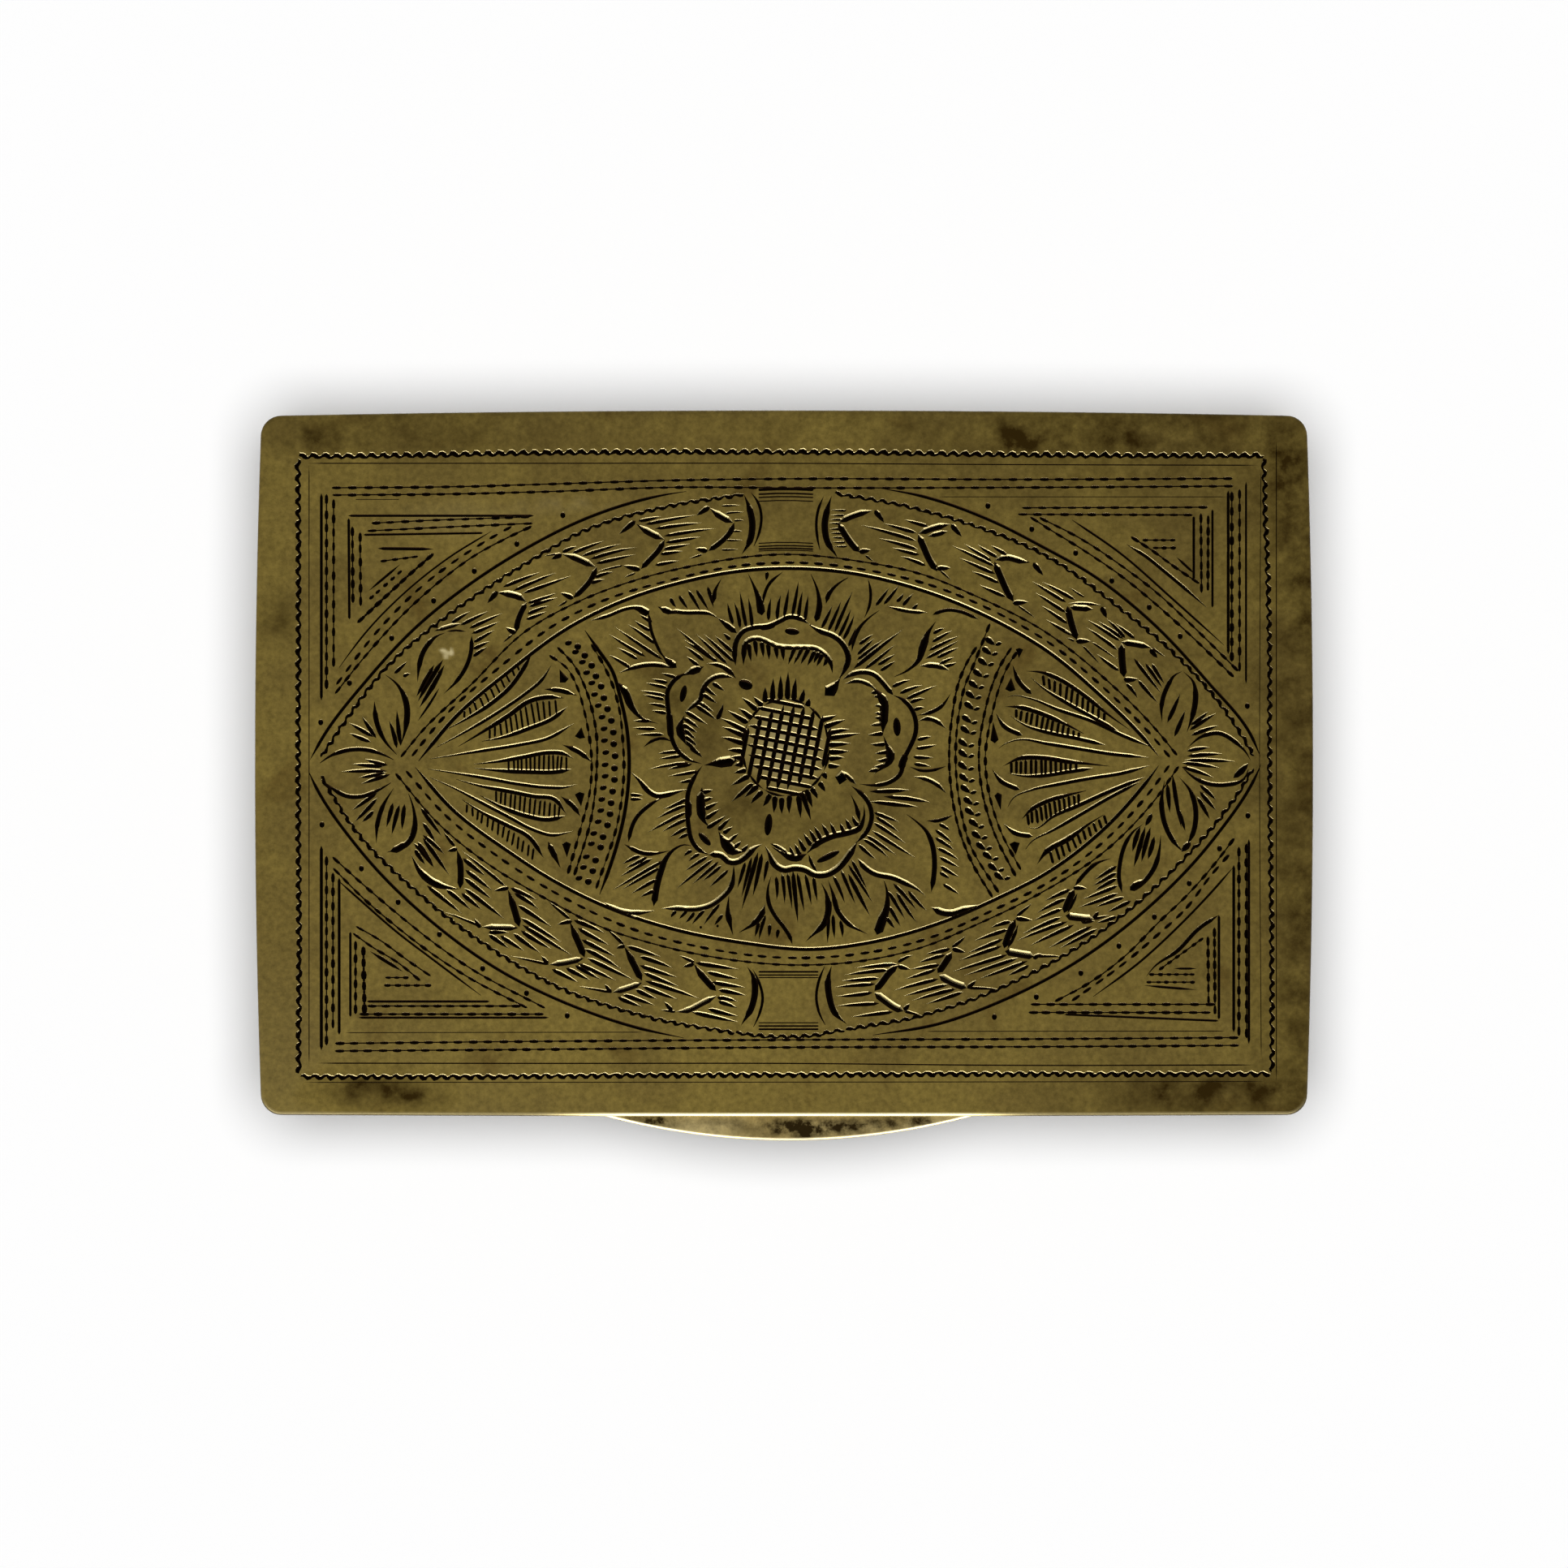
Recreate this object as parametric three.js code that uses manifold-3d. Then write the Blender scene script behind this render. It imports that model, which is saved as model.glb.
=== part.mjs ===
// A rectangular sheet-brass snuff box with a hinged lid, put together as a box maker does it: plates and
// strips soldered into a tray and a lid, and a tube joint let into the back edge so that the lid hides it.
// Millimetres, +Z up. The origin is the middle of the base plate's underside, and the thumb lip faces -Y.
import * as THREE from "three";
import { mergeVertices } from "three/addons/utils/BufferGeometryUtils.js";
import Module from "manifold-3d";

const wasm = await Module();
wasm.setup();

// Lid plate: length and depth are taken across the middle, where the sides swell most
const LID_LENGTH = 82;
const LID_DEPTH = 54.7;
const LID_THICKNESS = 1.2;
const LID_CORNER_RADIUS = 1.6;
const FRONT_BOW = 0.1;
const BACK_BOW = 0.4;
const SIDE_BOW = 0.45;
const EDGE_ROUND = 0.3;

// How far the lid stands out past the walls
const SIDE_OVERHANG = 0.5;
const FRONT_OVERHANG = 0.9;
const BACK_OVERHANG = 0.3;

// Tray: four wall strips on a base plate
const WALL_HEIGHT = 17.6;
const WALL_THICKNESS = 1;
const WALL_CORNER_RADIUS = 1.2;
const BASE_THICKNESS = 1;
const BASE_OVERHANG = 0.5;
const CLOSING_GAP = 0.1;
const SOLDER_GAP = 0.1;

// Bezel strips under the lid, which plug into the tray's mouth and hold it shut
const BEZEL_DEPTH = 2.2;
const BEZEL_THICKNESS = 0.8;
const BEZEL_CLEARANCE = 0.12;
const BEZEL_END_GAP = 0.3;

// Thumb lip: a segment of a disc soldered under the lid's front edge
const LIP_CHORD = 28.6;
const LIP_PROJECTION = 1.9;
const LIP_THICKNESS = 1;
const LIP_OFFSET = 0.35;
const LIP_CLEARANCE = 0.15;
const LIP_EDGE_ROUND = 0.25;

// Tube joint along the back
const KNUCKLE_COUNT = 7;
const KNUCKLE_RADIUS = 1.4;
const KNUCKLE_CHAMFER = 0.12;
const KNUCKLE_END_PLAY = 0.12;
const PIN_RADIUS = 0.6;
const PIN_CLEARANCE = 0.07;
const PIN_DOME = 0.15;
const JOINT_CLEARANCE = 0.1;
const JOINT_SET_IN = 0.1;
const JOINT_END_INSET = 0.5;
const COVE_LIP_DROP = 0.8;
const BEARER_WALL = 0.8;
const BEARER_SPLIT = 0.1;
const REBATE_CLEARANCE = 0.1;
const OPEN_ANGLE = THREE.MathUtils.degToRad(100);
const STOP_CLEARANCE = 0.1;

// Facets
const CURVE_STEPS = 8;
const EDGE_STEPS = 3;
const TUBE_STEPS = 24;
const COVE_STEPS = 48;
const LEAST_CORNER = 0.1;

// Levels from the table up
const wallBottom = BASE_THICKNESS;
const wallTop = wallBottom + WALL_HEIGHT;
const lidBottom = wallTop + CLOSING_GAP;

// Plans seen from above: the front and back walls are straight, because the joint is, and the rest swells
const wallDepth = LID_DEPTH - FRONT_OVERHANG - FRONT_BOW - BACK_OVERHANG - BACK_BOW;
const wallFront = -wallDepth / 2;
const wallBack = wallDepth / 2;
const lidFront = wallFront - FRONT_OVERHANG - FRONT_BOW;
const lidBack = wallBack + BACK_OVERHANG + BACK_BOW;
const wallPlan = {
  halfLength: LID_LENGTH / 2 - SIDE_OVERHANG,
  front: wallFront,
  back: wallBack,
  sideBow: SIDE_BOW,
  frontBow: 0,
  backBow: 0,
  radius: WALL_CORNER_RADIUS,
};
const lidPlan = {
  halfLength: LID_LENGTH / 2,
  front: lidFront,
  back: lidBack,
  sideBow: SIDE_BOW,
  frontBow: FRONT_BOW,
  backBow: BACK_BOW,
  radius: LID_CORNER_RADIUS,
};
const wallCornerX = wallPlan.halfLength - SIDE_BOW;

// Joint: the axis hangs just deep enough under the lid for the lid's back edge to meet the back wall at
// the open angle, which is the lid's stop
const coveRadius = KNUCKLE_RADIUS + JOINT_CLEARANCE;
const axisInset = KNUCKLE_RADIUS + JOINT_SET_IN;
const axisY = wallBack - axisInset;
const lidReach = lidBack - axisY;
const axisDrop =
  (axisInset + STOP_CLEARANCE - lidReach * Math.cos(OPEN_ANGLE)) / Math.sin(OPEN_ANGLE);
const axisZ = lidBottom - axisDrop;
const jointLength = 2 * (wallCornerX - JOINT_END_INSET);
const bearerInnerY = axisY - coveRadius - BEARER_WALL;

// A plan moved inwards all round by one distance.
function insetPlan(plan, distance) {
  return {
    ...plan,
    halfLength: plan.halfLength - distance,
    front: plan.front + distance,
    back: plan.back - distance,
    radius: Math.max(plan.radius - distance, LEAST_CORNER),
  };
}

// The outline of a plan: each side is a parabola that swells by its bow, each corner a quarter round.
function planShape(plan) {
  const { halfLength, front, back, sideBow, frontBow, backBow, radius } = plan;
  const x = halfLength - sideBow;
  const y0 = front + frontBow;
  const y1 = back - backBow;
  const middle = (y0 + y1) / 2;
  const handle = radius * (1 - 4 / 3 * (Math.SQRT2 - 1));
  const shape = new THREE.Shape();
  shape.moveTo(-x + radius, y0);
  shape.quadraticCurveTo(0, front - frontBow, x - radius, y0);
  shape.bezierCurveTo(x - handle, y0, x, y0 + handle, x, y0 + radius);
  shape.quadraticCurveTo(halfLength + sideBow, middle, x, y1 - radius);
  shape.bezierCurveTo(x, y1 - handle, x - handle, y1, x - radius, y1);
  shape.quadraticCurveTo(0, back + backBow, -x + radius, y1);
  shape.bezierCurveTo(-x + handle, y1, -x, y1 - handle, -x, y1 - radius);
  shape.quadraticCurveTo(-halfLength - sideBow, middle, -x, y0 + radius);
  shape.bezierCurveTo(-x, y0 + handle, -x + handle, y0, -x + radius, y0);
  return shape;
}

// A prism of a shape between two levels, with its rims rounded by an edge radius.
function prism(shape, bottom, top, edge = 0) {
  const geometry = new THREE.ExtrudeGeometry(shape, {
    depth: top - bottom - 2 * edge,
    curveSegments: CURVE_STEPS,
    bevelEnabled: edge > 0,
    bevelThickness: edge,
    bevelSize: edge,
    bevelOffset: -edge,
    bevelSegments: EDGE_STEPS,
  });
  return geometry.translate(0, 0, bottom + edge);
}

// A box given by its limits on each axis.
function block([x0, x1], [y0, y1], [z0, z1]) {
  const geometry = new THREE.BoxGeometry(x1 - x0, y1 - y0, z1 - z0);
  return geometry.translate((x0 + x1) / 2, (y0 + y1) / 2, (z0 + z1) / 2);
}

// A closed profile of (radius, distance along the axis) turned about the joint's axis, which runs along X.
function turnedOnAxis(profile, steps) {
  const geometry = new THREE.LatheGeometry(profile, steps);
  return geometry.rotateZ(-Math.PI / 2).translate(0, axisY, axisZ);
}

// A geometry as a solid for cutting and joining.
function solidOf(geometry) {
  const bare = geometry.index ? geometry.toNonIndexed() : geometry.clone();
  bare.deleteAttribute("normal");
  bare.deleteAttribute("uv");
  const merged = mergeVertices(bare);
  return new wasm.Manifold(
    new wasm.Mesh({
      numProp: 3,
      vertProperties: merged.attributes.position.array,
      triVerts: new Uint32Array(merged.index.array),
    }),
  );
}

// A solid back as a geometry.
function geometryOf(solid) {
  const mesh = solid.getMesh();
  const geometry = new THREE.BufferGeometry();
  geometry.setAttribute("position", new THREE.BufferAttribute(mesh.vertProperties, 3));
  geometry.setIndex(new THREE.BufferAttribute(mesh.triVerts, 1));
  geometry.computeVertexNormals();
  return geometry;
}

// The wedge that belongs to one side of the box: its strip's ends are mitred at 45 degrees along it, and
// stop half a solder gap short of their neighbours.
function mitreWedge(side, reach, bottom, top) {
  const alongFront = side === "front" || side === "back";
  const half = alongFront ? wallCornerX : wallDepth / 2;
  const face = alongFront ? wallDepth / 2 : wallCornerX;
  const trim = SOLDER_GAP / Math.SQRT2;
  const outer = half + reach - trim;
  const inner = half - reach - trim;
  const wedge = new THREE.Shape([
    new THREE.Vector2(-outer, -face - reach),
    new THREE.Vector2(outer, -face - reach),
    new THREE.Vector2(inner, -face + reach),
    new THREE.Vector2(-inner, -face + reach),
  ]);
  const turns = { front: 0, right: 1, back: 2, left: 3 };
  return prism(wedge, bottom, top).rotateZ(turns[side] * Math.PI / 2);
}

// A strip of sheet standing along one side of the box, at a distance inside the walls' outer face.
function mitredStrip(side, distance, thickness, bottom, top) {
  const ring = planShape(insetPlan(wallPlan, distance));
  ring.holes.push(planShape(insetPlan(wallPlan, distance + thickness)));
  const reach = distance + thickness + 2 * SIDE_BOW;
  const wedge = mitreWedge(side, reach, bottom, top);
  return solidOf(prism(ring, bottom, top)).intersect(solidOf(wedge));
}

// A round bar along the joint's axis, used to cut the coves that the tube lies in.
function coveCutter() {
  const bar = [
    new THREE.Vector2(0, -LID_LENGTH),
    new THREE.Vector2(coveRadius, -LID_LENGTH),
    new THREE.Vector2(coveRadius, LID_LENGTH),
    new THREE.Vector2(0, LID_LENGTH),
  ];
  return solidOf(turnedOnAxis(bar, COVE_STEPS));
}

// The room that the joint needs in the tray: the tube's cove, a rebate for the lid's bearer in front of
// the axis, and the sweep of the lid's back edge behind it.
function jointRoom() {
  const across = [-LID_LENGTH, LID_LENGTH];
  const above = lidBottom + LID_THICKNESS;
  const rebate = block(across, [bearerInnerY - REBATE_CLEARANCE, axisY], [axisZ, above]);
  const sweep = block(across, [axisY, lidBack], [axisZ - COVE_LIP_DROP, above]);
  return coveCutter().add(solidOf(rebate)).add(solidOf(sweep));
}

// Finishes: old brass outside, darker where hands never rub it, bare metal on what turns
const outsideBrass = { color: 0x7d6a35, roughness: 0.45, metalness: 1 };
const insideBrass = { color: 0x6b5a30, roughness: 0.6, metalness: 1 };
const jointBrass = { color: 0x8c7740, roughness: 0.4, metalness: 1 };

const snuffBox = new THREE.Group();
const tray = new THREE.Group();
const lid = new THREE.Group();
snuffBox.add(tray, lid);

// Adds one named piece to the tray or the lid.
function addPiece(group, name, geometry, finish) {
  const piece = new THREE.Mesh(geometry, new THREE.MeshStandardMaterial(finish));
  piece.name = name;
  group.add(piece);
}

// Base plate: stands out a little past the walls all round, as a foot
const basePlan = insetPlan(wallPlan, -BASE_OVERHANG);
addPiece(tray, "base_plate", prism(planShape(basePlan), 0, wallBottom, EDGE_ROUND), outsideBrass);

// Walls: four strips, mitred and soldered at the corners, cut back along the joint
const room = jointRoom();
for (const side of ["front", "back", "left", "right"]) {
  const strip = mitredStrip(side, 0, WALL_THICKNESS, wallBottom, wallTop);
  addPiece(tray, side + "_wall", geometryOf(strip.subtract(room)), outsideBrass);
}

// Bearers: the coved bars that carry the knuckles, one in the tray and one under the lid
const trayBearerHalf = wallCornerX - WALL_THICKNESS - SOLDER_GAP;
const trayBearer = block(
  [-trayBearerHalf, trayBearerHalf],
  [bearerInnerY, wallBack - WALL_THICKNESS],
  [axisZ - coveRadius - BEARER_WALL, axisZ],
);
addPiece(tray, "tray_hinge_bearer", geometryOf(solidOf(trayBearer).subtract(room)), insideBrass);
const lidBearer = block(
  [-jointLength / 2, jointLength / 2],
  [bearerInnerY, axisY],
  [axisZ + BEARER_SPLIT, lidBottom],
);
addPiece(lid, "lid_hinge_bearer", geometryOf(solidOf(lidBearer).subtract(coveCutter())), insideBrass);

// Knuckles: one tube cut into lengths, soldered by turns to the tray's bearer and to the lid's
const knucklePitch = (jointLength + KNUCKLE_END_PLAY) / KNUCKLE_COUNT;
const knuckleHalf = (knucklePitch - KNUCKLE_END_PLAY) / 2;
const boreRadius = PIN_RADIUS + PIN_CLEARANCE;
const knuckleProfile = [
  new THREE.Vector2(boreRadius, -knuckleHalf),
  new THREE.Vector2(KNUCKLE_RADIUS - KNUCKLE_CHAMFER, -knuckleHalf),
  new THREE.Vector2(KNUCKLE_RADIUS, -knuckleHalf + KNUCKLE_CHAMFER),
  new THREE.Vector2(KNUCKLE_RADIUS, knuckleHalf - KNUCKLE_CHAMFER),
  new THREE.Vector2(KNUCKLE_RADIUS - KNUCKLE_CHAMFER, knuckleHalf),
  new THREE.Vector2(boreRadius, knuckleHalf),
  new THREE.Vector2(boreRadius, -knuckleHalf),
];
for (let i = 0; i < KNUCKLE_COUNT; i++) {
  const onTray = i % 2 === 0;
  const number = Math.floor(i / 2) + 1;
  const name = (onTray ? "tray_knuckle_" : "lid_knuckle_") + number;
  const knuckle = turnedOnAxis(knuckleProfile, TUBE_STEPS);
  knuckle.translate((i - (KNUCKLE_COUNT - 1) / 2) * knucklePitch, 0, 0);
  addPiece(onTray ? tray : lid, name, knuckle, jointBrass);
}

// Pin: a drawn wire through every knuckle, with its ends rounded over
const pinProfile = [
  new THREE.Vector2(0, -jointLength / 2 - PIN_DOME),
  new THREE.Vector2(PIN_RADIUS - PIN_DOME, -jointLength / 2 - PIN_DOME),
  new THREE.Vector2(PIN_RADIUS, -jointLength / 2),
  new THREE.Vector2(PIN_RADIUS, jointLength / 2),
  new THREE.Vector2(PIN_RADIUS - PIN_DOME, jointLength / 2 + PIN_DOME),
  new THREE.Vector2(0, jointLength / 2 + PIN_DOME),
];
addPiece(tray, "hinge_pin", turnedOnAxis(pinProfile, TUBE_STEPS), jointBrass);

// Lid plate: the sheet that carries the engraving
const lidTop = lidBottom + LID_THICKNESS;
addPiece(lid, "lid_plate", prism(planShape(lidPlan), lidBottom, lidTop, EDGE_ROUND), outsideBrass);

// Bezels: the side strips end short of the joint
const bezelDistance = WALL_THICKNESS + BEZEL_CLEARANCE;
const bezelBack = bearerInnerY - BEZEL_END_GAP;
const bezelLevels = [lidBottom - BEZEL_DEPTH, lidBottom];
const bezelRoom = block([-LID_LENGTH, LID_LENGTH], [-LID_DEPTH, bezelBack], bezelLevels);
for (const side of ["front", "left", "right"]) {
  const strip = mitredStrip(side, bezelDistance, BEZEL_THICKNESS, ...bezelLevels);
  addPiece(lid, "lid_bezel_" + side, geometryOf(strip.intersect(solidOf(bezelRoom))), insideBrass);
}

// Thumb lip: its round front edge cuts the lid's edge line at the ends of the chord
const lipRadius = (LIP_CHORD ** 2 / 4 + LIP_PROJECTION ** 2) / (2 * LIP_PROJECTION);
const lipSweep = Math.asin(LIP_CHORD / 2 / lipRadius);
const lipCentreY = lidFront - LIP_PROJECTION + lipRadius;
const lipBackY = wallFront - LIP_CLEARANCE;
const lipShape = new THREE.Shape();
lipShape.moveTo(LIP_OFFSET - LIP_CHORD / 2, lipBackY);
lipShape.absarc(LIP_OFFSET, lipCentreY, lipRadius, -Math.PI / 2 - lipSweep, -Math.PI / 2 + lipSweep);
lipShape.lineTo(LIP_OFFSET + LIP_CHORD / 2, lipBackY);
const lip = prism(lipShape, lidBottom - LIP_THICKNESS, lidBottom, LIP_EDGE_ROUND);
addPiece(lid, "thumb_lip", lip, outsideBrass);

export default snuffBox;
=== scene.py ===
from functools import partial

import bpy
import numpy as np
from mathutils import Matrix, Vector
from mathutils.geometry import delaunay_2d_cdt


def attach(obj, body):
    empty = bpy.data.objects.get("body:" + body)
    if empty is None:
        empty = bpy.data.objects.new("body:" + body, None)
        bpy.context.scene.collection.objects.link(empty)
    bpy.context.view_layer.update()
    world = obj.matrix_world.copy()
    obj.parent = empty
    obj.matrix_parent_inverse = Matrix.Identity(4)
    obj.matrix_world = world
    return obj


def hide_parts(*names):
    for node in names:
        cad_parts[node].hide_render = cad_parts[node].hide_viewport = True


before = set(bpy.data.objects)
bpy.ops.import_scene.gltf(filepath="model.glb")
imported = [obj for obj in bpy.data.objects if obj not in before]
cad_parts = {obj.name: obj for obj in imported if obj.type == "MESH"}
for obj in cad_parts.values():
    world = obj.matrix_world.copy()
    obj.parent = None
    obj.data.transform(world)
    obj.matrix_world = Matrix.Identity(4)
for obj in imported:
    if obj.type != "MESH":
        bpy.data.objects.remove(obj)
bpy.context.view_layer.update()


# Tray: a base plate with four strips of sheet brass soldered on it, mitred where they meet. Carried in a
# pocket and never polished, the brass has gone olive brown, with paler rubbed rims and dirt along the foot.
def linear(code):
    """An sRGB hex colour as the linear colour that shaders take."""
    part = np.array([int(code[i : i + 2], 16) for i in (1, 3, 5)]) / 255
    part = np.where(part <= 0.04045, part / 12.92, ((part + 0.055) / 1.055) ** 2.4)
    return (*part.tolist(), 1)


def add(tree, kind, inputs=None, **settings):
    """Adds a node of a kind to a tree, with its settings; an input takes a value or a link from an output."""
    made = tree.nodes.new("ShaderNode" + kind)
    for name, value in settings.items():
        setattr(made, name, value)
    for name, value in (inputs or {}).items():
        if isinstance(value, bpy.types.NodeSocket):
            tree.links.new(value, made.inputs[name])
        else:
            made.inputs[name].default_value = value
    return made


def per_metre(millimetres):
    """The scale that makes one step of a pattern this many millimetres long."""
    return 1000 / millimetres


def aged_brass(name, pale, deep, stain, roughness=0.5, dent=0.02):
    """Tarnished sheet brass: clouds about 9 mm wide from pale to deep, brown stains about 5 mm wide, a skin
    of specks about 0.45 mm wide, and a faintly uneven face. Returns the tree, place, colour and shader."""
    material = bpy.data.materials.new(name)
    material.use_nodes = True
    tree = material.node_tree
    tree.nodes.clear()
    place = add(tree, "TexCoord").outputs["Object"]
    cloud = add(tree, "TexNoise", {"Vector": place, "Scale": per_metre(9), "Detail": 6, "Roughness": 0.62})
    cloudy = add(
        tree, "MapRange", {"Value": cloud.outputs[0], 1: 0.36, 2: 0.66}, interpolation_type="SMOOTHSTEP",
    )
    blotch = add(tree, "TexNoise", {"Vector": place, "Scale": per_metre(5), "Detail": 4, "Distortion": 0.6})
    stained = add(
        tree, "MapRange", {"Value": blotch.outputs[0], 1: 0.58, 2: 0.76}, interpolation_type="SMOOTHSTEP",
    )
    speck = add(tree, "TexNoise", {"Vector": place, "Scale": per_metre(0.45), "Detail": 3, "Roughness": 0.7})
    specked = add(tree, "MapRange", {"Value": speck.outputs[0], 1: 0.25, 2: 0.75, 3: 0.7, 4: 1.3})
    ground = add(tree, "Mix", {0: cloudy.outputs[0], 6: linear(pale), 7: linear(deep)}, data_type="RGBA")
    dulled = add(
        tree, "Mix", {0: stained.outputs[0], 6: ground.outputs[2], 7: linear(stain)}, data_type="RGBA",
    )
    colour = add(tree, "VectorMath", {0: dulled.outputs[2], 1: specked.outputs[0]}, operation="MULTIPLY")
    duller = {"Value": cloud.outputs[0], 1: 0.3, 2: 0.7, 3: roughness - 0.07, 4: roughness + 0.09}
    rough = add(tree, "MapRange", duller)
    face = add(tree, "TexNoise", {"Vector": place, "Scale": per_metre(3), "Detail": 5, "Roughness": 0.55})
    bump = add(tree, "Bump", {"Height": face.outputs[0], "Strength": 1, "Distance": dent / 1000})
    shader = add(tree, "BsdfPrincipled", {
        "Base Color": colour.outputs[0], "Metallic": 1, "Roughness": rough.outputs[0],
        "Normal": bump.outputs[0],
    })
    add(tree, "OutputMaterial", {"Surface": shader.outputs[0]})
    return tree, place, colour, shader


wall_side, wall_end, foot_top = 0.0405, 0.0265, 0.001
tree, place, colour, shader = aged_brass("tarnished sheet brass", "#726133", "#5c4e26", "#443516")
apart = add(tree, "SeparateXYZ", {0: place}).outputs
# Rubbed bright where hands and pockets reach: the foot's rim, and the walls where two of them meet
side = add(tree, "Math", {0: apart[0]}, operation="ABSOLUTE").outputs[0]
near_side = {"Value": side, 1: wall_side - 0.0017, 2: wall_side - 0.0001}
corner = add(tree, "MapRange", near_side, interpolation_type="SMOOTHSTEP").outputs[0]
end = add(tree, "Math", {0: apart[1]}, operation="ABSOLUTE").outputs[0]
near_end = {"Value": end, 1: wall_end - 0.0013, 2: wall_end}
front = add(tree, "MapRange", near_end, interpolation_type="SMOOTHSTEP").outputs[0]
post = add(tree, "Math", {0: corner, 1: front}, operation="MULTIPLY").outputs[0]
low_down = {"Value": apart[2], 1: foot_top + 0.0001, 2: foot_top - 0.0006}
foot = add(tree, "MapRange", low_down, interpolation_type="SMOOTHSTEP").outputs[0]
handled = add(tree, "Math", {0: post, 1: foot}, operation="MAXIMUM").outputs[0]
wear = add(tree, "TexNoise", {"Vector": place, "Scale": per_metre(2.5), "Detail": 5}).outputs[0]
worn = add(tree, "MapRange", {"Value": wear, 1: 0.35, 2: 0.65, 3: 0.1, 4: 0.9}).outputs[0]
rub = add(tree, "Math", {0: handled, 1: worn}, operation="MULTIPLY").outputs[0]
rubbed = add(tree, "Mix", {0: rub, 6: colour.outputs[0], 7: linear("#b7a56c")}, data_type="RGBA").outputs[2]
# Dirt lies outside, along the soldered joint between the foot and the walls, and snuff has browned the inside
past_side = add(tree, "Math", {0: side, 1: wall_side - 0.0007}, operation="GREATER_THAN").outputs[0]
past_end = add(tree, "Math", {0: end, 1: wall_end - 0.0005}, operation="GREATER_THAN").outputs[0]
outside = add(tree, "Math", {0: past_side, 1: past_end}, operation="MAXIMUM").outputs[0]
at_foot = {"Value": apart[2], 1: foot_top + 0.0014, 2: foot_top + 0.0001}
joint = add(tree, "MapRange", at_foot, interpolation_type="SMOOTHSTEP").outputs[0]
above = add(tree, "Math", {0: apart[2], 1: foot_top - 0.00005}, operation="GREATER_THAN").outputs[0]
grime = add(tree, "Math", {0: joint, 1: outside}, operation="MULTIPLY").outputs[0]
snuff = add(tree, "MapRange", {"Value": outside, 3: 0.75, 4: 0}).outputs[0]
soil = add(tree, "Math", {0: grime, 1: snuff}, operation="MAXIMUM").outputs[0]
soiled = add(tree, "Math", {0: soil, 1: above}, operation="MULTIPLY").outputs[0]
settled = add(tree, "Math", {0: soiled, 1: worn}, operation="MULTIPLY").outputs[0]
dirty = add(tree, "Mix", {0: settled, 6: rubbed, 7: linear("#1f160a")}, data_type="RGBA").outputs[2]
tree.links.new(dirty, shader.inputs["Base Color"])
for name in ("base_plate", "front_wall", "back_wall", "left_wall", "right_wall"):
    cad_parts[name].material_slots[0].material = bpy.data.materials["tarnished sheet brass"]


# Hinge: seven lengths of drawn brass tube on one wire pin, four soldered to the tray and three to the lid.
# They rub on each other and on fingers, so they are a little brighter than the sheet around them.
aged_brass("drawn brass tube", "#9a854a", "#6e5b2a", "#4a3a18", roughness=0.42)
tray_knuckles = [f"tray_knuckle_{k}" for k in (1, 2, 3, 4)]
lid_knuckles = [f"lid_knuckle_{k}" for k in (1, 2, 3)]
for name in (*tray_knuckles, *lid_knuckles, "hinge_pin"):
    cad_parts[name].material_slots[0].material = bpy.data.materials["drawn brass tube"]


# Bearers that carry the knuckles, and the bezels under the lid that plug into the tray's mouth: strips of
# brass, soldered, never polished and browned by the snuff.
aged_brass("unpolished strip brass", "#75602f", "#4c3b19", "#33250f", roughness=0.58)
for name in ("tray_hinge_bearer", "lid_hinge_bearer", "lid_bezel_front", "lid_bezel_left", "lid_bezel_right"):
    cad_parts[name].material_slots[0].material = bpy.data.materials["unpolished strip brass"]


# Engraving on the lid, cut by hand with a square graver: a wriggled border, stitched frame lines, four corner
# triangles, two pointed arcs with laurel between them, a palmette in each end and a rose with its leaves.
# Every stroke is a path in millimetres, half its dark width along it, and the width of its bare, lit wall.
hand = np.random.default_rng(7)
strokes = []


def smooth(points, step=0.3):
    """Points about one step apart on a curve through the given ones: a cubic between each two of them,
    whose slopes are finite differences over the distance walked."""
    points = np.asarray(points, float)
    walked = np.r_[0, np.cumsum(np.hypot(*np.diff(points, axis=0).T))]
    slopes = np.gradient(points, walked, axis=0)
    s = np.linspace(0, walked[-1], max(3, int(walked[-1] / step) + 2))
    i = np.clip(np.searchsorted(walked, s, side="right") - 1, 0, len(points) - 2)
    span = (walked[i + 1] - walked[i])[:, None]
    t = (s - walked[i])[:, None] / span
    return (
        (2 * t**3 - 3 * t**2 + 1) * points[i]
        + (t**3 - 2 * t**2 + t) * span * slopes[i]
        + (3 * t**2 - 2 * t**3) * points[i + 1]
        + (t**3 - t**2) * span * slopes[i + 1]
    )


def at(path, shares):
    """Points at the given shares of a path's length."""
    walked = np.r_[0, np.cumsum(np.hypot(*np.diff(path, axis=0).T))]
    return np.column_stack([np.interp(shares * walked[-1], walked, path[:, k]) for k in (0, 1)])


def cut(width, *points, rise=0.3, fall=0.3, step=0.3, bare=None):
    """One push of the graver: it sinks in over the share rise of the path and lifts out over the share fall.
    The wider it cuts, the more of one wall stays bare."""
    path = smooth(points, min(step, 0.3))
    steps = np.hypot(*np.diff(path, axis=0).T).sum() / step
    marks = np.array([0, rise, 1 - fall, 1])
    parts = [np.linspace(a, b, max(2, round((b - a) * steps) + 1)) for a, b in zip(marks[:-1], marks[1:])]
    shares = np.unique(np.concatenate(parts).round(6))
    half = width / 2 * np.clip(np.minimum(shares / rise, (1 - shares) / fall), 0, 1)
    wall = np.clip(1.5 * (half - 0.11), 0, 0.2) if bare is None else bare * half / half.max()
    strokes.append((at(path, shares), half, wall))


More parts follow.
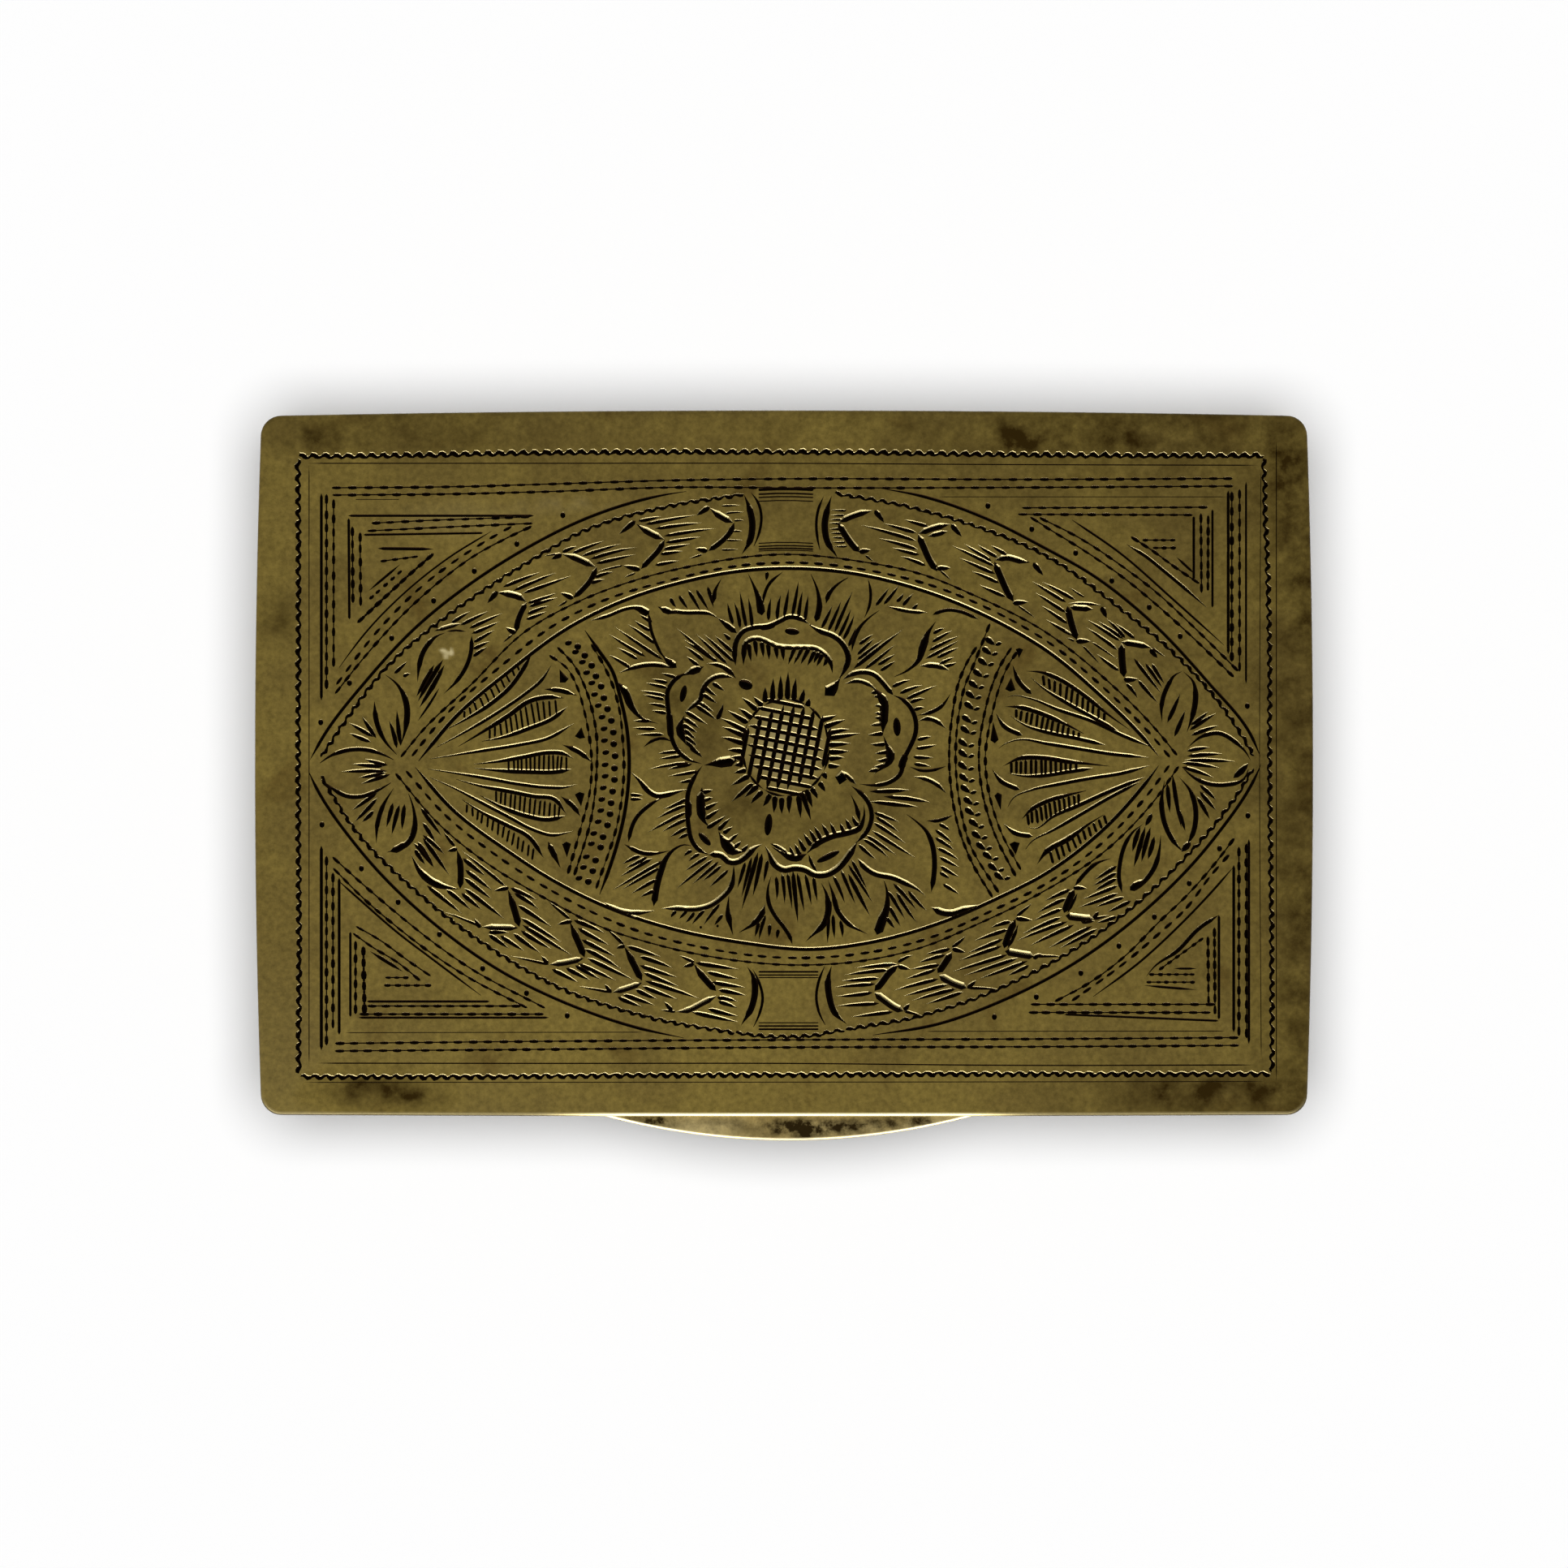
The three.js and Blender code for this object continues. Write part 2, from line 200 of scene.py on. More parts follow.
def line(width, *points):
    """A scribed line of even width."""
    cut(width, *points, rise=0.02, fall=0.02, step=1.5)


def ticks(width, *ends, rise=0.3, fall=None):
    """Straight strokes, each given by the x and y of its start and of its end: a long lens, thickest at the
    share rise, or of even width between rise and fall."""
    if fall is None:
        shares, swell = np.array([0, rise * 0.4, rise, rise * 0.45 + 0.55, 1]), np.array([0, 0.8, 1, 0.7, 0])
    else:
        shares, swell = np.array([0, rise, 1 - fall, 1]), np.array([0, 1, 1, 0])
    for x0, y0, x1, y1 in ends:
        bend = hand.normal(0, 0.04, 2)
        middle = (x0 + x1) / 2 + bend[0], (y0 + y1) / 2 + bend[1]
        half = width / 2 * swell
        strokes.append((at(smooth(((x0, y0), middle, (x1, y1))), shares), half, 0.45 * half))


def hatch(count, width, start, end, rise=0.25, fall=None, jitter=0.07):
    """Strokes side by side, each from a point of one curve to the matching point of another."""
    shares = (np.arange(count) + 0.5) / count
    starts = at(smooth(start), shares) + hand.normal(0, jitter / 2, (count, 2))
    ends = at(smooth(end), shares) + hand.normal(0, jitter, (count, 2))
    ticks(width, *np.hstack([starts, ends]), rise=rise, fall=fall)


def stitch(*points, pitch=1.15, dash=0.85, width=0.22, thread=0.09):
    """A row of dashes, full in the middle and pointed at both ends, joined by a hair line."""
    path = smooth(points)
    length = np.hypot(*np.diff(path, axis=0).T).sum()
    count = max(2, round(length / pitch))
    middles = (np.arange(count) + 0.5) / count + hand.normal(0, 0.04, count) / length
    reach = dash / length * np.array([-0.5, -0.32, 0, 0.32, 0.5])
    for middle in middles:
        swell = np.array([0, 0.75, 1, 0.8, 0]) * width / 2 * hand.uniform(0.85, 1.2)
        strokes.append((at(path, np.clip(middle + reach, 0, 1)), swell, 0.12 * swell))
    for gap in zip(middles[:-1] + 0.42 * dash / length, middles[1:] - 0.42 * dash / length):
        if thread and gap[1] > gap[0]:
            line(thread, *at(path, np.array(gap)))


def wriggle(*points, pitch=0.9, swing=0.12, width=0.32, bare=0.4):
    """A wave, as a rocked graver leaves it: thick on the way down, thinner on the way up."""
    path = smooth(points)
    count = round(np.hypot(*np.diff(path, axis=0).T).sum() / pitch)
    middle = at(path, np.linspace(0, 1, 6 * count + 1))
    along = np.gradient(middle, axis=0)
    normal = np.column_stack([-along[:, 1], along[:, 0]]) / np.hypot(*along.T)[:, None]
    phase = np.arange(len(middle)) * np.pi / 3
    side = swing * np.sin(phase) + hand.normal(0, 0.02, len(middle))
    half = width / 2 * (0.75 + 0.25 * np.cos(phase - 2.4)) * hand.uniform(0.85, 1.15, len(middle))
    half[[0, -1]] = 0
    strokes.append((middle + side[:, None] * normal, half, bare * half))


def pit(width, *ends):
    """Punched or drilled pits, each given by the x and y of its two ends: an ellipse of the given width."""
    turn = np.linspace(np.pi, 0, 9)
    for x0, y0, x1, y1 in ends:
        share = (1 + np.cos(turn)) / 2
        half = width / 2 * np.sin(turn)
        strokes.append((np.column_stack([x0 + share * (x1 - x0), y0 + share * (y1 - y0)]), half, 0.1 * half))


# The wriggled border and its guide lines
wriggle(
    (-37.6, 23.65), (-30, 23.7), (-20, 23.9), (-8, 23.97), (4, 23.95), (15, 23.8), (27, 23.7), (37.2, 23.7),
)
wriggle(
    (37.15, 23.5), (37.25, 20), (37.45, 15), (37.6, 9), (37.6, 0), (37.75, -12), (37.8, -24.1), width=0.25,
)
wriggle(
    (37.7, -24.2), (28, -24.22), (17, -24.2), (4, -24.25), (-10, -24.3), (-24, -24.42), (-37.5, -24.42),
    width=0.3,
)
wriggle((-37.6, -24.2), (-37.55, -15), (-37.62, -5), (-37.62, 5), (-37.6, 15), (-37.65, 23.5), width=0.28)
for width, *points in (
    (0.08, (-37.1, 23.1), (-20, 23.1), (0, 23.1), (18, 23.0), (36.8, 22.95)),
    (0.06, (-36.8, 23), (-36.8, -23.6)),
    (0.09, (-36.2, -23.38), (-18, -23.4), (0, -23.4), (18, -23.55), (36.5, -23.52)),
    (0.06, (-37.3, -24.87), (0, -24.85), (37.3, -24.8)),
    (0.05, (36.95, 22.5), (36.85, 0), (36.98, -23)),
    (0.06, (38.15, 24.9), (38.15, -24.9)),
    (0.05, (-33.2, 20.3), (-29.8, 20.3)),
    (0.05, (12, 20.5), (34.3, 20.5)),
    (0.06, (-34, -21.02), (-11, -20.98)),
    (0.06, (11, -20.92), (34.2, -20.9)),
):
    line(width, *points)

# The stitched frame, which breaks off where the pointed arcs reach it
for pitch, *points in (
    (1.2, (-35.2, 21.2), (-25, 21.3), (-18, 21.5), (-8, 21.8), (0, 21.9), (18, 21.85), (35, 21.93)),
    (1.15, (-35.2, 20.64), (-25, 20.74), (-18, 20.92), (-8, 21.25), (0, 21.2), (18, 21.23), (35, 21.34)),
    (1.15, (-35, -21.85), (-18, -21.68), (0, -21.57), (20, -21.5), (35.4, -21.4)),
    (1.12, (-35, -22.44), (-18, -22.3), (0, -22.15), (20, -22.1), (35.4, -22.0)),
):
    stitch(*points, pitch=pitch)
for x, ends, width in (
    (-35.85, (20.8, 4.7), 0.2), (-35.85, (-6.5, -22.4), 0.22), (-34.47, (-9, -21.2), 0.2),
    (35.8, (21.7, 6), 0.14), (34.42, (21, 8.3), 0.2), (36.02, (-6, -21.9), 0.18), (34.85, (-8, -21), 0.2),
):
    line(width, (x, ends[0]), (x, ends[1]))
for x, ends, width in (
    (-35.45, (20.8, 5.4), 0.24), (-34.9, (20.5, 7.2), 0.22), (-35.45, (-7.3, -22.2), 0.24),
    (-34.95, (-8.4, -20.8), 0.24), (35.3, (21.3, 6.8), 0.22), (34.7, (21, 7.6), 0.28),
    (35.85, (-6.2, -21.6), 0.28), (35.25, (-6.5, -21.4), 0.24),
):
    stitch((x, ends[0]), (x, ends[1]), pitch=1.08, width=width)

# Corner triangle at the back left
line(0.17, (-33.8, 19.04), (-19.35, 19.04))
stitch((-32.2, 18.45), (-27, 18.7), (-19.5, 18.95), dash=0.8)
stitch((-32.5, 17.85), (-26, 18.17), (-19.3, 18.46))
line(0.16, (-32.6, 17.56), (-23.3, 17.7))
line(0.18, (-33.73, 18.85), (-33.68, 11))
stitch((-33.45, 18.3), (-33.4, 12.2), pitch=1, width=0.24)
stitch((-32.85, 17.95), (-32.8, 11.9), pitch=1, width=0.24)
cut(
    0.13, (-22.4, 18), (-26.1, 15.7), (-29.8, 12.7), (-32.4, 10), (-33.8, 8.2), (-35, 6.5), rise=0.1,
    fall=0.2,
)
stitch(
    (-20.95, 18.3), (-22.9, 17.2), (-25.4, 15.6), (-27.9, 13.7), (-31.5, 10.1), (-34.8, 5.8), dash=0.8,
    thread=0,
)
stitch(
    (-19.4, 18.3), (-21.3, 17.4), (-23.9, 16), (-26.5, 14.1), (-29, 11.9), (-32.5, 8.1), (-34.9, 5.1),
    thread=0.1,
)
cut(0.22, (-31.5, 16.5), (-27.1, 16.45), rise=0.1, fall=0.2)
stitch((-31.3, 15.5), (-28.3, 15.9), pitch=0.8, dash=0.6)
stitch(
    (-27.1, 16.15), (-29, 14.5), (-30.95, 12.7), (-33.1, 10.7), pitch=0.95, dash=0.9, width=0.3, thread=0.15,
)
cut(0.18, (-29.7, 15.3), (-32.2, 13.2))
stitch((-29.5, 14.9), (-32.2, 12.5), pitch=0.75, dash=0.5, thread=0)

# Corner triangle at the back right
stitch((18.3, 19.65), (33, 19.7), pitch=1.1, width=0.2)
stitch((18, 19.15), (31.8, 19.1), pitch=1.1)
line(0.16, (33.2, 19.55), (33.2, 11.9))
stitch((32.87, 19.1), (32.85, 13.2), pitch=0.9)
stitch((32.3, 19.3), (32.35, 13), pitch=0.9)
line(0.18, (31.75, 19), (31.75, 14.1))
cut(0.16, (22.05, 18.9), (26.1, 16.1), (30.1, 12.6), (34.55, 8.6), rise=0.1, fall=0.2)
stitch((19.6, 19), (23.1, 17.2), (26.1, 15.2), (28.8, 13.15), (31.45, 10.7), (35.3, 6.9), thread=0.1)
stitch(
    (19, 19), (20.4, 18.1), (23.4, 16.25), (26.1, 14.4), (28.8, 12.2), (31.2, 10.05), (35, 6.4), thread=0.1,
)
stitch((27.7, 17.15), (30.5, 17.15), pitch=0.7, dash=0.5)
stitch((28.5, 16.55), (30.5, 16.55), pitch=0.7, dash=0.5)
cut(0.22, (26.5, 16.85), (28.1, 15.85), (29.4, 14.8), (30.9, 13.55), (32.95, 11.75), rise=0.15, bare=0.04)
stitch((26.75, 17.5), (28.6, 16.3), (30.1, 15.2), (32.3, 13.7), pitch=0.9, thread=0.1)
cut(0.18, (30.4, 15.85), (31.85, 14.5))

# Corner triangle at the front left
line(0.17, (-33.6, -13.2), (-33.6, -19.8))
stitch((-33.2, -13.8), (-33.2, -19.7), pitch=0.95, width=0.24)
stitch((-32.6, -14.3), (-32.5, -19.65), pitch=0.95, width=0.34, thread=0.16)
line(0.17, (-32.35, -18.6), (-22.8, -18.6))
stitch((-32.4, -18.95), (-20.3, -18.95), pitch=1.05)
stitch((-33, -19.58), (-18.5, -19.58), pitch=1, width=0.24)
line(0.16, (-33, -19.85), (-18.2, -19.85))
cut(0.16, (-34.8, -9), (-33, -10.6), (-29.9, -13.3), (-27.2, -15.35), (-23, -18.5), rise=0.1, fall=0.2)
stitch(
    (-35.1, -8.1), (-32.6, -10.6), (-29.9, -12.9), (-27.2, -14.95), (-24.5, -16.7), (-19.7, -19.2),
    thread=0.1,
)
stitch(
    (-35.1, -7.3), (-32.6, -9.55), (-29.9, -11.85), (-27.2, -14), (-24.5, -15.9), (-18.35, -19.2), thread=0.1,
)
stitch((-33.3, -12.7), (-31.3, -13.85), (-29.25, -15.35), (-27.2, -16.75), width=0.2, thread=0.1)
stitch((-33.55, -13.2), (-31.95, -14.35), (-29.9, -15.6), (-28.05, -17.1), width=0.2, thread=0.1)
cut(0.24, (-32.1, -14.7), (-29.5, -16.3))
stitch((-31, -16.75), (-29, -16.75), pitch=0.65, dash=0.5)
stitch((-31.1, -17.35), (-27.3, -17.35), pitch=0.8, dash=0.6)

# Corner triangle at the front right
line(0.18, (33.7, -11.9), (33.7, -20))
stitch((33.35, -12.8), (33.4, -19.6), pitch=0.9)
stitch((32.85, -13.5), (32.9, -19), pitch=0.9)
stitch((18.95, -18.82), (33.5, -18.82), pitch=1.1)
stitch((18.75, -19.45), (33.2, -19.45), pitch=1, width=0.24)
line(0.16, (21.7, -19.6), (33.7, -20.1))
cut(0.16, (34.9, -8.1), (33.15, -10.1), (30.45, -12.9), (27.8, -15.35), (23.45, -18.6), rise=0.1, fall=0.2)
stitch((34.6, -7.1), (33.15, -8.75), (31.1, -11.45), (29.1, -13.3), (26.4, -15.6), (22.1, -18.7), thread=0)
stitch(
    (35, -5.8), (33.8, -7.4), (31.1, -10.5), (29.1, -12.4), (26.4, -15.1), (23.75, -17.1), (20.9, -18.65),
    thread=0.09,
)
cut(0.26, (33.7, -11.9), (32.2, -12.9), (30.45, -14.7), (28.7, -15.9), (27.9, -16.9), rise=0.1, fall=0.4)
stitch((32.6, -13.6), (29, -16.2), pitch=0.8, dash=0.55)
cut(0.16, (30.2, -16.05), (32, -16.05))
stitch((28.2, -16.5), (32, -16.5), pitch=0.65, dash=0.45)
stitch((28, -17.1), (32, -17.1), pitch=0.65, dash=0.45)
cut(0.18, (27.8, -17.35), (32, -17.7))

# Punched dots outside the pointed arcs
for x, y in (
    (-17.14, 19.08), (-20.7, 16.85), (-24, 14.75), (-27.15, 12.45), (-30.4, 9.55), (-33.67, 6.08),
    (-35.9, 3.03), (15.8, 19.8), (19.2, 18), (22.6, 16.15), (25.4, 14), (28.3, 11.95), (30.7, 9.7),
    (35.9, 4.3), (-16.8, -19.7), (-19.95, -17.95), (-23.35, -16.05), (-26.7, -13.4), (-29.9, -10.9),
    (-32.75, -8.3), (-35.8, -4.9), (16.3, -19.8), (19.55, -18.25), (23, -16.4), (25.95, -14.3),
    (28.7, -12.05), (31.4, -9.45), (33.75, -6.75), (35.95, -4.2),
):
    pit(0.4, (x - 0.2, y, x + 0.2, y))

# Outer pair of pointed arcs: a plain line, and a scalloped one inside it
for arc in (
    (
        (-7, 21), (-9.3, 20.65), (-14.9, 19), (-20, 16.5), (-23.9, 14.05), (-28.4, 10.5), (-32.5, 6.1),
        (-35.5, 2.25), (-36.8, 0),
    ),
    (
        (7, 21.25), (10.7, 20.55), (16.05, 18.65), (20, 16.65), (24.05, 14.35), (28.1, 11.15), (32.8, 6.2),
        (36.2, 2), (36.95, 0.3),
    ),
    (
        (-7.2, -21.55), (-11.5, -20.6), (-17.2, -18.6), (-21.85, -16.3), (-27.2, -12.5), (-33, -6.7),
        (-36.6, -1.3), (-36.9, -0.6),
    ),
    (
        (6.3, -21.3), (12.1, -20.3), (17, -18.5), (22.4, -15.7), (27.8, -11.7), (33.3, -6), (36.8, -0.6),
        (37, -0.1),
    ),
):
    cut(0.22, *arc, rise=0.1, fall=0.04)
for arc in (
    (
        (-3.1, 20.7), (-8.85, 19.8), (-15.3, 17.95), (-20, 15.35), (-25.95, 11.4), (-30.8, 7.3), (-34, 3.15),
        (-35.9, 0.3),
    ),
    (
        (3.9, 20.77), (9.3, 19.8), (14.9, 18.2), (20.7, 15.7), (26.1, 11.8), (30.5, 8.1), (34.5, 3.5),
        (36.45, 0.4),
    ),
    ((-3.8, -21.05), (-1.5, -21.3), (2, -21.25), (4.75, -20.8)),
    (
        (-3.8, -21.05), (-10.1, -19.9), (-17.2, -17.6), (-23.2, -14.15), (-28.6, -9.95), (-33, -5.6),
        (-35.9, -1.1),
    ),
    (
        (4.75, -20.8), (10.7, -19.7), (17.05, -17.45), (23.75, -13.75), (29.8, -8.75), (34.9, -2.9),
        (36.4, -0.5),
    ),
):
    wriggle(*arc, pitch=0.88, swing=0.09, width=0.26, bare=0.2)

# Inner pair of pointed arcs: a plain line with a dashed and a stitched one outside it
top_line = (
    (-28.5, -0.2), (-27.3, 1.3), (-25.7, 3.2), (-21.3, 7), (-16.5, 10.5), (-12.1, 12.6), (-7.7, 13.95),
    (-3.1, 14.8), (0, 14.98), (5.05, 14.63), (9.3, 13.7), (13.5, 12.25), (17.75, 10.2), (20, 8.85),
    (24.5, 5.15), (27.8, 1.9), (29.2, 0.2),
)
top_dashes = (
    (-29, 0.2), (-26.2, 3.6), (-21.8, 7.5), (-17.75, 10.6), (-14.4, 12.3), (-9, 14), (-3.2, 15.2),
    (1.3, 15.4), (6.6, 14.8), (11.4, 13.65), (16.05, 11.75), (20.4, 9.3), (25, 5.5), (28.5, 2), (30, 0.2),
)
top_stitches = (
    (-29.8, 0.2), (-28, 2.4), (-24.2, 6), (-20, 10.1), (-15.9, 12.4), (-11, 14.2), (-6.5, 15.27), (0, 16.05),
    (5.9, 15.5), (10.7, 14.5), (14.9, 12.8), (20, 10.2), (25, 6.3), (28.8, 2.5), (30.6, 0.3),
)
front_line = (
    (-28.75, -0.25), (-25.7, -3.7), (-21.3, -7), (-17.9, -9.2), (-13.65, -11.3), (-8.7, -12.95),
    (-3.1, -14.05), (2, -14.55), (6.5, -14.05), (12.1, -12.5), (17.05, -10.35), (20, -8.85), (24.5, -5.5),
    (27.8, -1.95), (29.2, -0.1),
)
front_dashes = (
    (-29.4, -0.6), (-26.2, -4.2), (-22.4, -7.2), (-17.5, -10.3), (-12.1, -12.85), (-6.6, -14.35), (0, -15.2),
    (5.05, -15), (10.55, -13.9), (16.35, -11.45), (20.6, -9.3), (25, -6), (28.4, -2.3), (30, -0.1),
)
front_stitches = (
    (-30.2, -0.8), (-26.8, -4.8), (-23, -7.9), (-18.6, -10.55), (-14.1, -12.85), (-9.85, -14.2),
    (-5.2, -15.2), (1, -15.77), (5.3, -15.55), (10.7, -14.4), (14.9, -12.65), (19.15, -10.6), (25.4, -6.5),
    (28.8, -2.9), (30.7, -0.2),
)
for plain, dashes, stitches, bare in (
    (top_line, top_dashes, top_stitches, 0.07), (front_line, front_dashes, front_stitches, 0.05),
):
    cut(0.23, *plain, rise=0.03, fall=0.03, bare=bare)
    stitch(*dashes, pitch=1.12, dash=0.8, width=0.22, thread=0)
    stitch(*stitches, pitch=1.12, dash=0.8, width=0.2, thread=0.1)

# Clasps over the middle of the garlands
for thick, thin in (
    (
        ((-3.1, 20.7), (-2.6, 19.35), (-2.45, 18.4), (-2.65, 17.1), (-3.3, 16)),
        ((-2.6, 20.9), (-2, 20.05), (-1.75, 18.95), (-1.9, 17.8), (-2.45, 16.4)),
    ),
    (
        ((3.7, 20.6), (3.35, 19.5), (3.15, 18.4), (3.3, 17.25), (4.2, 15.7)),
        ((3.1, 20.6), (2.65, 19.5), (2.5, 18.4), (2.6, 17.25), (2.85, 16.1)),
    ),
    (
        ((-2.85, -15.9), (-2.35, -16.75), (-2.25, -17.9), (-2.5, -19), (-3.35, -20.5)),
        ((-2.45, -16.05), (-1.9, -17.2), (-1.65, -18.3), (-1.9, -19.55), (-2.5, -20.85)),
    ),
    (
        ((3.7, -15.8), (3.4, -17), (3.5, -18.15), (3.9, -19.4), (4.9, -20.4)),
        ((3.2, -15.75), (2.7, -17), (2.5, -18.3), (2.7, -19.4), (3.35, -20.7)),
    ),
):
    cut(0.36, *thick, rise=0.25, fall=0.25)
    cut(0.19, *thin, rise=0.2, fall=0.3)
for y, width in (
    (21.1, 0.2), (20.75, 0.12), (20.5, 0.1), (20.2, 0.08), (16.95, 0.08), (16.7, 0.1), (16.5, 0.12),
    (16.35, 0.08),
):
    line(width, (-2, y - 0.05), (0, y + 0.03), (2.3, y - 0.05))
for y, width in ((-16.3, 0.13), (-16.55, 0.1), (-16.75, 0.08), (-20.25, 0.08), (-20.5, 0.12), (-20.75, 0.14)):
    line(width, (-2, y), (2.7, y))

# Garland from the clasp to the left along the back: leaf tips of two thick edges, with barbs and hatching
for upper, lower in (
    (
        ((-5.75, 19.65), (-5.2, 19.2), (-4.5, 18.78), (-3.9, 18.48)),
        ((-3.85, 18.5), (-4.15, 17.8), (-4.8, 17.1), (-5.9, 16.3)),
    ),
    (
        ((-11.45, 18.4), (-10.7, 17.9), (-9.9, 17.48), (-9.25, 17.2)),
        ((-9.25, 17.2), (-9.7, 16.4), (-10.4, 15.65), (-11.1, 14.9)),
    ),
    (
        ((-17.3, 16.1), (-16.2, 15.8), (-15.3, 15.4), (-14.55, 15.05)),
        ((-14.5, 15.1), (-14.9, 14.2), (-15.6, 13.35), (-16.35, 12.65)),
    ),
    (
        ((-22.3, 13.1), (-21.2, 12.95), (-20.5, 12.75), (-19.95, 12.35)),
        ((-19.95, 12.35), (-20.4, 11.5), (-20.65, 10.8), (-20.75, 10)),
    ),
):
    cut(0.3, *upper, rise=0.35, fall=0.25, bare=0.2)
    cut(0.32, *lower, rise=0.15, fall=0.15, bare=0.08)
ticks(
    0.34, (-5.75, 19.75, -6.8, 19.05), (-5.9, 16.3, -6.9, 16.5), (-11.5, 18.65, -12.8, 17.6),
    (-11.1, 14.85, -12.5, 15.2), (-17.2, 16.05, -18.05, 15.65), (-16.3, 12.62, -17.35, 13.07),
    (-22.2, 13.2, -23, 12.25), (-20.75, 9.95, -21.55, 10.4),
)
ticks(
    0.14, (-6.3, 16.05, -7.4, 15.7), (-11.5, 14.6, -12.4, 14.25), (-12.4, 15.2, -14.6, 14.7),
    (-16.8, 12.45, -17.6, 12), (-21, 9.9, -21.8, 9.2), (-17.3, 16.05, -18.6, 15.9), (-4.9, 19.8, -3.3, 19.85),
    (-4.6, 19.2, -3.1, 19.3), (-3.9, 18.65, -3.1, 18.7), (-4, 17.85, -3.2, 17.85), (-4.5, 17.15, -3.2, 17.15),
    (-4.9, 16.4, -3.5, 16.45),
)
ticks(
    0.24, (-11.3, 18.62, -9.5, 19), (-10.8, 18.35, -6.8, 19.1), (-10, 18.02, -6.3, 18.5),
    (-9.35, 17.45, -5.3, 18.05), (-9.2, 16.95, -6.4, 17.4), (-9.4, 16.45, -7.2, 16.87),
    (-9.6, 16.05, -7.8, 16.3), (-10, 15.2, -8.1, 15.55), (-17.2, 16.2, -16.05, 16.68),
    (-16.5, 16.08, -13.9, 17.1), (-15.7, 15.92, -12.6, 16.87), (-15.05, 15.65, -11.4, 16.6),
    (-14.6, 15.32, -11.5, 16.05), (-14.7, 14.25, -13.2, 14.7), (-15, 13.8, -13.9, 14.1),
    (-21.8, 13.5, -18.8, 14.7), (-21, 13.2, -17.6, 14.65), (-20.3, 13.02, -16.4, 14.42),
    (-19.9, 12.25, -17.6, 13.07), (-19.8, 11.98, -17.5, 12.7), (-19.9, 11.4, -18.2, 12.07),
    (-20, 11, -18.4, 11.62), (-25.8, 10.7, -24.3, 11.65), (-25.1, 10.55, -22.9, 11.65),
    (-24.4, 10.3, -21.8, 11.5), (-24.2, 9.9, -22, 10.85), (-24.1, 9.2, -22.4, 10.2),
    (-24.1, 8.7, -22.8, 9.32), (-24.1, 8.12, -23, 8.87), (-30.2, 6.8, -29.2, 7.75),
    (-29.5, 6.55, -28.95, 6.8),
)
cut(0.3, (-28.4, 6.1), (-28.3, 7.2), (-28, 8.4), (-27.5, 9.2), (-26.9, 9.72), (-26.2, 9.98))
cut(0.14, (-26.2, 10.05), (-25.4, 10.15), (-24.6, 10.05))
cut(0.1, (-27.1, 10.1), (-26.1, 10.42), (-25, 10.7), bare=0.25)
cut(0.26, (-24.2, 9.75), (-24.25, 8.5), (-24.6, 7.4), (-25.3, 6.3), (-26.4, 5.2), rise=0.1)
ticks(0.32, (-26.4, 7.9, -28.4, 4.6), (-27.1, 7.5, -28.5, 5), (-26.3, 7.5, -28.3, 4.1), rise=0.5)
ticks(0.16, (-26.7, 5.7, -28.4, 3.1), rise=0.5)

# Garland from the clasp to the right along the back
for upper, lower in (
    (
        ((6.9, 19.45), (6, 19.25), (5, 18.9), (4.2, 18.5)),
        ((4.2, 18.5), (4.8, 17.5), (5.4, 16.7), (5.9, 16.2)),
    ),
    (((12.9, 18.4), (11.6, 18.1), (10.4, 17.65)), ((10.4, 17.65), (10.8, 16.7), (11.3, 15.6), (11.9, 14.7))),
    (
        ((19.1, 15.4), (18.3, 15.55), (17.3, 15.8), (16.3, 15.6)),
        ((16.3, 15.5), (16.8, 14.3), (17.3, 13.2), (17.8, 12.35)),
    ),
    (((24, 11.8), (23.2, 11.87), (22.1, 11.97)), ((21.95, 12.05), (22.2, 11), (22.5, 10), (22.7, 9.4))),
    (((28.5, 8.8), (27.5, 9.05), (26.1, 9.25)), ((26.15, 9.2), (26.2, 7.8), (26.35, 6.5))),
):
    cut(0.3, *upper, rise=0.3, fall=0.2, bare=0.16)
    cut(0.36, *lower, rise=0.15, fall=0.15, bare=0.14)
cut(0.26, (12.7, 17.85), (12, 17.65), (11.1, 17.45), bare=0.1)
cut(0.12, (24.6, 12.1), (23.3, 12.25), (22, 12.25), bare=0.12)
ticks(
    0.34, (5.8, 16.25, 6.75, 16.4), (11.8, 14.95, 12.95, 15), (17.7, 12.25, 18.95, 12.35),
    (22.6, 9.3, 23.8, 9.3), (26.3, 6.38, 27.45, 6.4), (7, 19.45, 7.75, 18.5), (12.95, 18.4, 13.8, 17.4),
    (19.3, 15.4, 20.1, 14.4), (24.6, 12, 25, 11.1), (28.4, 8.75, 28.95, 8),
)
ticks(
    0.14, (6.3, 16, 6.95, 15.5), (12.1, 14.8, 13, 14.05), (18.1, 12.1, 19.5, 11.1), (23.1, 9, 24.5, 7.5),
    (23.8, 9.3, 25.9, 7.9), (28.5, 8.85, 29.6, 8.1), (22.5, 9.3, 21.9, 9.55), (23.3, 12.7, 22.1, 13.5),
)
hatch(9, 0.15, ((4.9, 19.6), (4.4, 18), (5.0, 16.5)), ((3.6, 19.65), (3.5, 18), (3.9, 16.5)), jitter=0.03)
